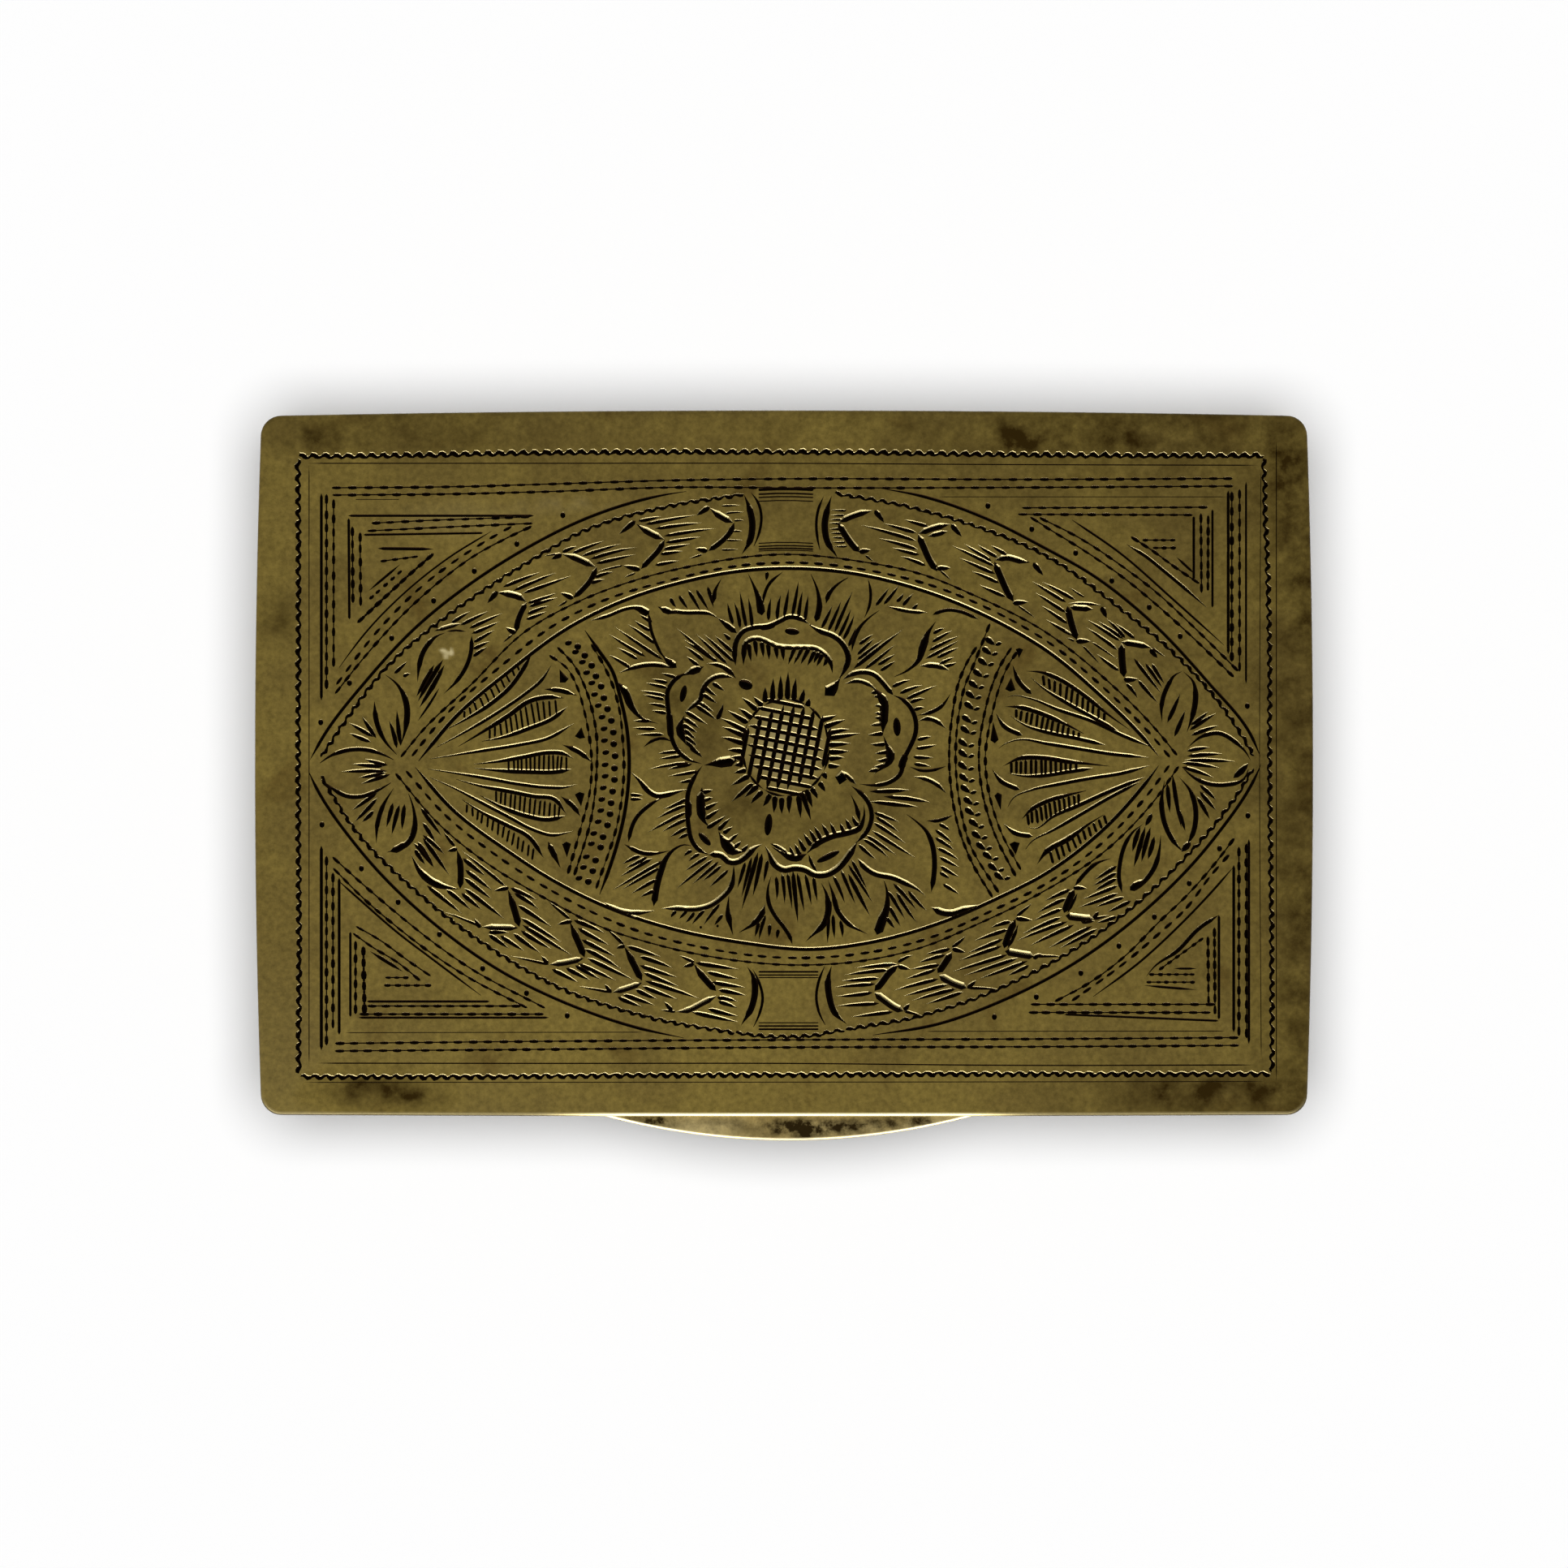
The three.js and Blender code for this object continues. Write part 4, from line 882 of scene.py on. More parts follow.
ticks(
    0.34, (-1.45, 4.55, -1.45, 5.8), (-0.89, 4.65, -0.83, 6.5), (-0.3, 4.75, -0.26, 6.7),
    (0.27, 4.75, 0.32, 7), (0.76, 4.7, 0.92, 6.5), (1.3, 4.6, 1.55, 5.65), (1.8, 4.25, 1.95, 4.95),
    (-1.65, 4.3, -2.37, 5.05), (-2.1, 3.95, -3.3, 4.98), (-2.46, 3.3, -3.55, 4.15), (-2.78, 2.97, -4.4, 3.98),
    (-2.82, 2.26, -5, 3.4), (-3, 1.94, -4.85, 2.7), (-3.1, 1.36, -4.9, 1.9), (-3.2, 0.8, -4.4, 0.9),
    (-3.2, 0.3, -4.2, 0.35), (-3.15, -0.2, -3.9, -0.3), (-2.9, -0.67, -3.9, -0.9),
    (-2.73, -1.08, -4.15, -1.86), (-2.37, -1.7, -4.1, -3.15), (-2, -1.84, -3.1, -2.8),
    (-1.65, -2.29, -2.6, -3.3), (-1.1, -2.5, -1.65, -3.5), (-0.7, -2.65, -0.8, -4),
    (-0.17, -2.75, -0.17, -4.1), (0.44, -2.6, 0.4, -4.05), (1.12, -2.6, 1.29, -4.4), (1.38, -2.33, 2.1, -4.6),
    (1.74, -2.15, 2.2, -3.6), (2.1, -2.06, 2.6, -2.9), (2.73, -1.6, 3.2, -2.35), (3.04, -0.9, 3.3, -1.4),
    (3.4, -0.3, 4.4, -0.3), (3.45, 0.2, 4.7, 0.3), (3.45, 0.75, 5.1, 0.8), (3.4, 1.27, 5.2, 1.4),
    (3.36, 1.8, 5.96, 2.2), (3.3, 2.15, 5.15, 2.5), (3.1, 2.65, 4.8, 3.25), (2.8, 3.2, 4.1, 3.6), rise=0.18,
)

# Back petal
cut(
    0.28, (-3.75, 7.4), (-3.83, 8.5), (-3.67, 9.4), (-3.17, 10.1), (-2.3, 10.4), (-1.3, 10.5), (-0.3, 10.9),
    (0.3, 11.2), (1.2, 11.1), (2, 10.6), rise=0.1, fall=0.1, bare=0.1,
)
cut(
    0.3, (1.8, 10.7), (2.8, 10.1), (3.7, 9.8), (4.3, 9.4), (4.8, 8.7), (5, 8), (4.75, 7.2), (4.2, 6.3),
    rise=0.2, fall=0.2, bare=0.12,
)
cut(0.36, (-2.3, 10.4), (-1.3, 10.45), (-0.3, 10.85))
cut(0.75, (4.4, 6.5), (3.8, 5.7), (3.15, 5.1), rise=0.72, fall=0.28)
cut(
    0.2, (-3.15, 7.4), (-3.1, 8.5), (-3, 9.2), (-2.3, 9.55), (-1.3, 9.3), (-0.7, 9), (0.3, 8.85), (1.5, 8.85),
    (2.5, 8.75), (3.2, 8.3), (3.6, 7.7), (3.76, 6.8), rise=0.1, fall=0.1, bare=0.2,
)
ticks(
    0.28, (-2.75, 9.2, -2.55, 7.7), (-2.25, 9.45, -2.1, 8.05), (-1.75, 9.3, -1.6, 8.05),
    (-1.25, 9.2, -1.16, 7.85), (-0.67, 8.95, -0.53, 7.9), (-0.12, 8.9, -0.03, 7.8), (0.85, 8.9, 0.33, 7.5),
    (1.43, 8.9, 0.74, 7.5), (1.95, 8.8, 1.28, 7.5), (2.4, 8.6, 1.8, 7.4), (2.75, 8.5, 2.3, 7.6),
    (3, 8.4, 2.52, 7.35), (3.35, 8.1, 3.02, 7.35), rise=0.2,
)
pit(0.45, (0.05, 10.12, 1.2, 10))

# Right petal
cut(
    0.26, (4.5, 6.3), (5.2, 6.75), (6.2, 6.95), (7, 6.75), (7.5, 6.3), (8, 5.7), (8.5, 5.1), rise=0.2,
    fall=0.1, bare=0.14,
)
cut(
    0.28, (8.4, 5.15), (9.2, 4.8), (9.8, 4.2), (10.2, 3.2), (10.2, 2.2), (9.8, 1.2), (9.3, 0.2), (9, -1),
    (8.2, -1.6), (7, -1.85), (5.8, -1.75), rise=0.1, fall=0.15,
)
cut(0.4, (9.6, 0.8), (9.2, 0), (9.05, -0.9))
cut(0.2, (4.7, 6), (5.7, 6.25), (6.7, 5.9), (7.2, 5.5), bare=0.14)
cut(0.46, (6.8, 5.8), (7.4, 5.2), (7.75, 4.6), (7.75, 3.9), (7.7, 3), (7.65, 2.1), rise=0.3, fall=0.25)
cut(0.46, (7.7, 2), (7.95, 1.3), (8.25, 0.6), (8.15, 0), (7.6, -0.5), (6.9, -1), rise=0.4, fall=0.5)
ticks(
    0.28, (7.6, 5.04, 6.9, 5), (7.65, 4.3, 7, 4.3), (7.7, 3.7, 7, 3.75), (7.65, 3.4, 7, 3.4),
    (7.6, 2.93, 6.65, 2.78), (7.7, 2.17, 6.45, 2.06), (7.85, 1.36, 6.65, 1.34), (8.1, 0.75, 7, 0.6),
    (8.1, 0.2, 7.1, 0.1), (7.8, -0.25, 6.9, -0.4), (7.3, -0.65, 6.5, -0.8), (7.2, 5.4, 6.7, 5.3), rise=0.15,
)
pit(0.5, (8.7, 3.4, 8.8, 1.95))

# Front right petal
cut(0.85, (3.95, -1.2), (4.4, -1.25), (4.9, -1.4), rise=0.45, fall=0.5)
cut(0.2, (4.4, -0.7), (5, -1.2), (5.6, -1.8), bare=0.14)
cut(0.28, (5.2, -1.9), (6, -2.5), (6.6, -3.3), (6.8, -4.3), (6.5, -5.3), (5.5, -6.4), rise=0.15, fall=0.15)
cut(
    0.3, (5.7, -6.2), (5, -7.3), (4.2, -8.25), (3.3, -8.75), (2.3, -8.75), (1.7, -8.4), (0.8, -8.25),
    (0, -8.4), (-0.7, -8), (-1.2, -7), (-1.5, -6.5), rise=0.1, fall=0.15, bare=0.2,
)
cut(
    0.36, (6.2, -3.3), (6.2, -4.3), (5.8, -5.2), (5, -5.5), (3.7, -5.8), (2.5, -6.4), (1.7, -7.2), rise=0.3,
    fall=0.15,
)
cut(0.4, (1.8, -7.15), (0.8, -7.5), (0, -7.15), (-1, -6.6), rise=0.2, fall=0.5)
cut(0.16, (1.9, -7.2), (2.2, -8), (2.6, -8.6), bare=0.1)
cut(0.16, (-1.1, -6.35), (-0.4, -6.65), (0.5, -7.25), bare=0.12)
cut(0.28, (5.15, -2.5), (5.6, -3.5), (5.9, -4.8), rise=0.6, fall=0.3)
ticks(
    0.29, (5.75, -5, 5.3, -4.2), (5.15, -5.3, 4.75, -4.4), (4.7, -5.6, 4.33, -4.75),
    (4.02, -5.75, 3.57, -4.7), (3.48, -5.85, 2.92, -4.8), (2.93, -6.1, 2.33, -5), (2.5, -6.3, 1.93, -5.25),
    (2.12, -6.55, 1.52, -5.55), (1.65, -7, 1.07, -5.9), (1.25, -7.3, 0.82, -6.35), (0.8, -7.45, 0.42, -6.55),
    rise=0.2,
)
pit(0.42, (2.55, -7.8, 4.3, -6.95))

# Front left petal
cut(0.55, (-6.2, -0.3), (-5, -0.1), (-3.6, 0.1), rise=0.5, fall=0.2)
cut(
    0.28, (-6.3, -0.3), (-7, -1.3), (-7.4, -2.3), (-7.5, -3.7), (-7.4, -5), (-7.2, -6), (-6.7, -6.75),
    (-5.8, -7.25), rise=0.15, fall=0.1,
)
cut(0.36, (-7.4, -2.7), (-7.4, -3.7), (-7.38, -4.7))
cut(
    0.3, (-5.9, -7.2), (-4.8, -7.3), (-4.3, -7.75), (-3.7, -7.8), (-3, -7.4), (-2.3, -6.7), (-1.7, -6.4),
    rise=0.1, fall=0.2, bare=0.18,
)
cut(0.46, (-6.35, -2), (-6.45, -3.3), (-6.3, -4.4), (-5.7, -5.2), rise=0.2, fall=0.4)
cut(0.6, (-5.1, -5.4), (-4.6, -6.2), (-4, -6.9), (-3, -7), rise=0.4, fall=0.4)
ticks(
    0.28, (-6.3, -2.4, -5.5, -2.2), (-6.2, -3, -5.5, -2.8), (-6.15, -3.7, -5.1, -3.12),
    (-6.1, -4.45, -4.95, -3.65), (-6, -5.18, -4.45, -4.15), (-5.1, -5.35, -4.1, -4.35),
    (-4.7, -5.6, -3.95, -5.05), (-4.4, -6.25, -3.5, -5.55), (-3.9, -6.7, -3.3, -6.15),
    (-3.25, -6.95, -2.75, -6.4), rise=0.2,
)
pit(0.42, (-6.6, -5.55, -5.7, -6.5))
pit(0.5, (-1.12, -4.05, -1.3, -5.75))

# Left petal
pit(0.66, (-3.5, 6.15, -2.45, 5.75))
cut(0.24, (-3.7, 6.4), (-4.3, 7.1), (-5, 7.45), (-6, 7.6), bare=0.1)
cut(0.42, (-6.2, 7.35), (-7, 7.05), (-8, 6.6), rise=0.25, fall=0.5)
cut(
    0.28, (-7.4, 6.95), (-8.5, 6.3), (-9, 5.5), (-9, 4.3), (-8.8, 3), (-8.7, 1.8), (-8.2, 0.8), (-7.3, 0.1),
    (-6.3, -0.2), rise=0.1, fall=0.15,
)
cut(0.36, (-9.05, 4.5), (-8.85, 3.2), (-8.75, 2), (-8.4, 1.2))
cut(
    0.24, (-3.9, 6.5), (-5, 6.65), (-5.8, 6.3), (-6.25, 5.7), (-6.5, 4.8), (-7.2, 4.2), (-7.8, 3.7),
    rise=0.15, fall=0.2, bare=0.15,
)
cut(0.44, (-7.7, 3.6), (-8.05, 2.7), (-7.9, 1.9), (-7.5, 1.2), rise=0.4, fall=0.4)
ticks(
    0.28, (-5.56, 6.1, -4.6, 5.45), (-6.3, 5.9, -5.15, 5.05), (-6.3, 5.25, -5.2, 4.5),
    (-6.6, 4.65, -5.4, 3.85), (-6.86, 4.35, -5.2, 3.2), (-5.2, 3.24, -4.7, 4.5), (-7.67, 3.9, -5.9, 2.85),
    (-7.8, 3.35, -6.55, 2.55), (-7.9, 2.9, -6.7, 2.2), (-7.75, 2.5, -6.8, 1.75), (-7.7, 2, -6.7, 1.2),
    (-7.6, 1.6, -6.6, 0.6), (-7.3, 1.1, -6.3, 0.3), rise=0.25,
)
pit(0.42, (-7.65, 5.9, -7.95, 4.6))

# Leaves behind the rose: their edges and veins, and the hatching at the roots
cut(0.42, (-2.82, 14.64), (-2.3, 13.5), (-1.92, 12.5), (-1.72, 11.3), rise=0.75, fall=0.08)
cut(0.22, (-0.05, 14.73), (-1.16, 13.74), (-1.6, 12.6), (-1.68, 11.8))
cut(0.34, (1.97, 14.78), (2.6, 13.2), (2.75, 12.04), (2.45, 10.8), rise=0.7, fall=0.08)
cut(0.28, (5.24, 14.4), (4.17, 13.74), (3.45, 12.94), (3.25, 12.2), rise=0.7, fall=0.15)
cut(0.2, (6.5, 14.28), (6.72, 13), (6.63, 12.1), (6.2, 11.05))
cut(0.3, (-4.8, 14.25), (-5.35, 13.2), (-5.5, 12.2), rise=0.7, fall=0.2)
ticks(
    0.23, (-3.94, 10.6, -4.38, 12.3), (-3.4, 10.3, -3.88, 12.4), (-2.9, 10.3, -3.42, 13.2),
    (-2.46, 10.3, -2.77, 12.75), (-1.2, 10.9, -1, 12.7), (-0.53, 10.95, -0.24, 12.95), (0, 11.15, 0.37, 13.4),
    (0.62, 11.15, 1.13, 14), (1.1, 10.9, 1.44, 13.25), (1.6, 10.8, 1.87, 12.9), (2.9, 10.3, 3.75, 12.1),
    (3.4, 10.05, 4.45, 12.5), (3.9, 9.95, 5.35, 13.25), (4.2, 9.6, 5.2, 11.85), (4.57, 9.4, 5.45, 11.4),
    (5, 8.9, 5.6, 10.4), (-8.79, 12.7, -8.34, 11.93), (-8.14, 12.87, -7.44, 11.8),
    (-7.42, 13.27, -6.45, 11.6), (-6.8, 13.3, -5.83, 11.7), (-5.92, 13.55, -5.45, 11.9),
    (-1.3, 14.7, -1.39, 14),
)
cut(0.36, (-9.8, 12), (-9, 11.65), (-8, 11.45), rise=0.3, fall=0.5)
cut(0.22, (-8.8, 11.7), (-7.76, 11.55), (-6.5, 11.55), (-5.87, 11.5), (-5, 11.05), rise=0.1, bare=0.12)
cut(0.34, (-5.2, 11.15), (-4.4, 10.55), (-3.63, 9.93), rise=0.5, fall=0.2, bare=0.1)
ticks(
    0.245, (-5.3, 7.75, -8.35, 10.35), (-5.05, 7.65, -7.8, 9.45), (-6.2, 7.78, -7.7, 8.95),
    (-6.6, 7.4, -7.55, 8.15), (-4.35, 7.5, -6.85, 9.9), (-3.8, 7.65, -6.25, 9.9), (-3.94, 8.45, -5.35, 9.75),
    (-4.17, 9.4, -4.7, 9.95), (-3.9, 6.7, -5, 7.4),
)
cut(
    0.2, (-15, 10.9), (-13.5, 11.35), (-12.4, 11.8), (-11.5, 11.95), (-10.5, 11.8), rise=0.2, fall=0.1,
    bare=0.1,
)
cut(0.42, (-12, 11.9), (-11, 11.75), (-10.45, 11.4), rise=0.6, fall=0.1)
cut(0.22, (-10.5, 11.5), (-10.25, 10), (-9.9, 9.1), (-9.46, 8.27), (-8.9, 7.75), rise=0.1)
cut(0.42, (-9.5, 8.3), (-8.9, 7.7), (-8.3, 7.25), rise=0.6, fall=0.2)
ticks(
    0.23, (-10.2, 10.8, -11.2, 11.4), (-10.3, 10.1, -11.6, 10.95), (-9.9, 9.05, -12.15, 10.65),
    (-9.35, 7.85, -13.15, 10.45), (-10.7, 8.1, -13.6, 9.9), (-11.3, 7.9, -12.95, 8.85),
    (-11.8, 7.2, -13.6, 8.3),
)
cut(
    0.22, (-12.8, 6.85), (-11.7, 7.28), (-10.8, 7.48), (-9.2, 7.4), (-8.6, 7.2), rise=0.3, fall=0.2,
    bare=0.16,
)
cut(0.42, (-13.05, 6.3), (-12.3, 5.4), (-11.9, 4.4), (-11, 3.33), (-9.64, 2.9), rise=0.2, fall=0.6)
ticks(
    0.23, (-8.34, 6.5, -9.5, 6.85), (-9, 6.1, -10.25, 6.4), (-9, 5.7, -10.75, 6.1), (-9.1, 5.1, -11.15, 5.5),
    (-9.2, 4.77, -10.95, 5.17), (-9.1, 4.2, -10.55, 4.5), (-9.05, 3.74, -10.25, 3.96),
    (-10.3, 3.15, -11.7, 3.15), (-9.9, 2.53, -11.75, 2.63), (-9.3, 2.08, -11.45, 2.08),
    (-7.3, -0.1, -10.5, -0.6), (-7.1, -0.2, -9.1, -0.63), (-6.6, -0.75, -9, -1.14), (-7, -1.42, -8.2, -1.62),
    (-8.2, 0.75, -9.8, 0.6), (-7.9, 0.45, -9.7, 0.2), (-11.95, -2.56, -10.9, -2.6),
    (-11.95, -2.92, -10.9, -2.92),
)
cut(0.22, (-10.9, 1.1), (-10.2, 1.6), (-9.4, 1.8), (-8.6, 1.5))
cut(
    0.3, (-11.9, -0.8), (-11.17, -1.5), (-10.6, -2.2), (-9.9, -2.65), (-9.2, -2.6), (-8.1, -2.3),
    (-7.4, -2.15), bare=0.12,
)
cut(
    0.26, (-9.1, -2.65), (-9.9, -3.05), (-10.8, -3.68), (-11.4, -4.3), (-11.8, -5.1), (-12.06, -6.25),
    fall=0.1,
)
cut(0.28, (-12.4, -6.4), (-11.7, -6.8), (-10.8, -7.13), (-9.7, -7.1), (-8.8, -6.9), rise=0.2, fall=0.4)
ticks(
    0.245, (-7.5, -2.85, -9.4, -3.7), (-7.5, -3.35, -9.9, -4.46), (-7.5, -3.9, -10.55, -5.5),
    (-7.5, -4.45, -9.45, -5.45), (-7.5, -5.1, -8.85, -5.85), (-7.45, -5.6, -8.25, -6),
    (-11.1, -7.3, -12.55, -7.96), (-10.6, -7.4, -12.35, -8.28), (-10.2, -7.5, -12.75, -8.95),
    (-9.2, -7.6, -13.35, -10), (-9.55, -8.2, -12.6, -9.95), (-9.8, -9.1, -11.85, -10.25),
    (-9.9, -9.95, -11.15, -10.5),
)
cut(
    0.36, (-6.86, -6.64), (-7.76, -6.46), (-8.5, -6.8), (-9.2, -7.6), (-9.55, -8.5), (-9.9, -9.87),
    (-10.1, -11.25), rise=0.5, fall=0.08,
)
cut(
    0.22, (-9.5, -11.4), (-8.5, -11.37), (-6.68, -11.4), (-5.8, -11.17), (-4.8, -10.5), (-4.17, -9.8),
    (-3.9, -8.6), (-3.9, -7.9), rise=0.15, fall=0.2, bare=0.2,
)
cut(0.18, (-14, -10.9), (-13, -11.45), (-12, -11.68), (-11, -11.7), (-10, -11.55), rise=0.2, bare=0.2)
ticks(
    0.23, (-6.5, -7.13, -7.4, -7.75), (-5.9, -7.35, -7.7, -8.5), (-5.45, -7.55, -8.35, -9.87),
    (-5.05, -7.75, -7.1, -9.5), (-4.85, -8.05, -6.35, -9.27), (-4.3, -8.4, -5.8, -9.75),
    (-7.1, -6.9, -7.76, -7.36),
)

# Leaves in front of the rose, from the left to the right
cut(0.34, (-4.26, -10.3), (-4.35, -11.7), (-4.17, -12.6), (-3.94, -13.5), rise=0.5, fall=0.4)
cut(0.34, (-3.54, -13.3), (-2.28, -12.5), (-1.74, -11.85), (-1.47, -11.05), rise=0.5, fall=0.2)
cut(
    0.26, (-0.98, -8.84), (-1.25, -9.87), (-1.16, -11.04), (-0.67, -12), (-0.04, -12.8), (0.5, -13.7),
    (0.65, -14.2), rise=0.3, fall=0.1,
)
cut(
    0.36, (2.87, -9.4), (3.3, -10.3), (3.45, -11.5), (3.1, -12.56), (2.2, -13.46), (1.65, -14), rise=0.3,
    fall=0.3,
)
cut(0.3, (3.4, -9.15), (3.8, -10.3), (4.17, -11.58), (4.97, -12.56), (6.5, -13.4), rise=0.3)
cut(0.5, (7.67, -9), (7.98, -10.05), (7.98, -11.2), (7.58, -12.3), (7.2, -13.45), rise=0.7, fall=0.08)
cut(
    0.28, (5.7, -7.5), (6.14, -8.08), (6.95, -8.66), (8.5, -9.02), (9.4, -9.42), (10.3, -9.87), (11, -10.45),
    rise=0.1, bare=0.14,
)
cut(
    0.3, (9.28, -3.95), (10.27, -4.67), (11.08, -5.47), (11.5, -6.46), (11.66, -7.63), (11.6, -8.97),
    (11.4, -10.15), rise=0.4, fall=0.1,
)
cut(0.32, (11.4, -11.3), (12.2, -11.67), (12.96, -11.76), (13.7, -11.55), (15.1, -11.1), rise=0.15, bare=0.2)
ticks(
    0.23, (-8.34, -11.58, -8.76, -12.1), (-7.5, -11.5, -8.12, -12.2), (-6.95, -11.67, -7.65, -12.5),
    (-6.14, -11.5, -7.15, -12.65), (-4.97, -11.04, -6.25, -12.7), (-4.75, -11.85, -5.4, -12.7),
    (-3, -7.8, -3.62, -9.85), (-2.5, -7.4, -3.3, -10.55), (-1.25, -7.6, -1.58, -9.4),
    (-1.95, -12.4, -2.26, -13.6), (-1.43, -11.9, -1.95, -13.85), (-1.1, -12.6, -1.18, -13.6),
    (-0.44, -13, -0.56, -13.75), (-0.62, -8.9, -0.57, -10.75), (-0.17, -8.6, 0.05, -11.05),
    (0.26, -8.5, 0.63, -11.45), (1.03, -8.6, 1.58, -11.7), (1.65, -8.7, 2.12, -11.15),
    (2.28, -8.9, 2.58, -10.85), (3.8, -8.8, 4.72, -11), (4.4, -8.35, 5.55, -11.1), (4.97, -8, 6.9, -11),
    (5.24, -7.6, 6.45, -9.9), (3.8, -11.85, 3.92, -13.75), (4.35, -12.3, 4.53, -13.67),
    (3.45, -11.67, 3.36, -14.1),
)
ticks(
    0.29, (-2, -7, -3.3, -11.55), (-1.7, -7.1, -2.43, -10.5), (0.67, -8.4, 1.08, -12.55),
    (4.97, -8.7, 6.72, -12.05),
)
pit(0.2, (-6.55, -12.85, -6.35, -12.85), (-5.25, -12.75, -5.05, -12.75))

# Leaves to the right of the rose
ticks(
    0.245, (6.95, -3.95, 8.95, -4.7), (7.1, -4.3, 8.95, -5.5), (6.9, -4.7, 9.5, -6.4),
    (6.8, -5.35, 10.25, -7.5), (6.35, -5.7, 8.7, -7.25), (6.1, -6, 8.15, -7.5), (5.75, -6.4, 7.15, -7.6),
    (7.95, -12.05, 8.6, -12.95), (8.15, -11.2, 9.05, -12.8), (8.05, -10, 9.4, -12.25),
    (8.7, -10.1, 10.3, -12.5), (8.45, -9.45, 10.3, -11.55), (9.6, -10, 11.1, -11.6), (12, -4.85, 12.9, -5.36),
    (11.7, -5.3, 13.1, -6.35), (11.7, -5.9, 13.25, -6.9), (11.85, -6.7, 13.6, -7.65),
    (12.05, -7.4, 13.6, -8.2), (12.1, -8.1, 13.6, -8.95), (12.05, -8.6, 12.85, -9.1),
    (12.3, -9.5, 13.6, -10.3), (10.05, -0.2, 11.4, -0.4), (10, 0.35, 11.6, 0.3), (10.2, 1, 11.85, 1.3),
    (10.3, 1.67, 11.45, 1.95), (10.05, 4, 10.9, 4.2), (9.75, 4.55, 10.95, 4.87), (9.4, 4.8, 11.85, 5.9),
    (8.95, 5.25, 10.75, 5.92), (8.35, 5.75, 9.82, 6.32),
)
ticks(0.29, (6.6, -2.33, 9.75, -2.2), (7.7, -2.72, 11.35, -3.16), (6.6, -3.1, 10.45, -3.52), rise=0.5)
cut(0.22, (10, -1.17), (11, -1.35), (11.9, -1.8), (12.6, -2.5), bare=0.12)
cut(0.24, (11.03, -4.6), (11.9, -4.6), (13.1, -4.17))
cut(0.22, (9.7, -0.4), (10.6, -0.7), (11.4, -0.7), (12.6, -0.36))
cut(0.24, (10.4, 3.15), (11.17, 3.33), (11.8, 3.15), (12.55, 2.55), bare=0.12)
cut(0.26, (12.95, 5.3), (12.24, 4.3), (11.17, 3.74), (10.3, 3.56), rise=0.4)
cut(0.26, (7.62, 11.86), (6.68, 11.2), (5.96, 10.5), (5.47, 9.6), (5.24, 8.45), rise=0.6, fall=0.2)
cut(0.2, (7.98, 12.03), (9, 11.77), (10, 11.6), (11.1, 11.55), fall=0.2, bare=0.1)
cut(0.24, (11.5, 11.35), (12.06, 11.6), (12.8, 11.74), (13.7, 11.6), (15.1, 11), rise=0.1, fall=0.15)
cut(
    0.42, (11.8, 10.9), (11.08, 9.8), (10.76, 8.9), (10.45, 7.9), (9.64, 7.1), (8.3, 6.45), rise=0.3,
    fall=0.6,
)
cut(0.26, (10.5, 7.4), (11.26, 7.46), (12.06, 7.37), (12.85, 7.03), bare=0.16)
ticks(
    0.23, (5.8, 9.05, 6.9, 9.87), (5.68, 8.25, 7, 9.55), (5.65, 7.85, 7.75, 9.5), (6.25, 7.15, 8.65, 9.1),
    (7.25, 7.45, 8.65, 8.35), (7.45, 7, 8.65, 7.78), (7.1, 12.05, 8.15, 13.47), (7.72, 12.15, 8.95, 13.7),
    (8.72, 12.35, 9.27, 13.02), (9.2, 12.05, 10, 13), (9.98, 11.75, 10.4, 12.25), (11.55, 9.88, 12.45, 10.33),
    (11.45, 9.23, 13.05, 10.15), (11.2, 8.57, 13.6, 9.75), (10.95, 7.95, 13.6, 9.4), (11.8, 8, 13.6, 8.85),
    (12, 7.5, 13.2, 8.08), (12.4, 7.4, 13.4, 7.7),
)
ticks(0.29, (5.35, 7.15, 9.25, 10.25))


# Lid plate: sheet brass 1.2 mm thick with rounded rims and swelling sides, carrying the engraving above as
# real V-shaped grooves. It lies on the walls and is soldered to the bezels and to its half of the hinge.
lid_top, lid_bottom, rim = 19.9, 18.7, 0.3
lid_half, lid_front, lid_back, lid_corner = 41, -27.5, 27.2, 1.6
side_bow, front_bow, back_bow = 0.45, 0.1, 0.4
steepness, overcut, least_depth = 0.85, 1.15, 0.012


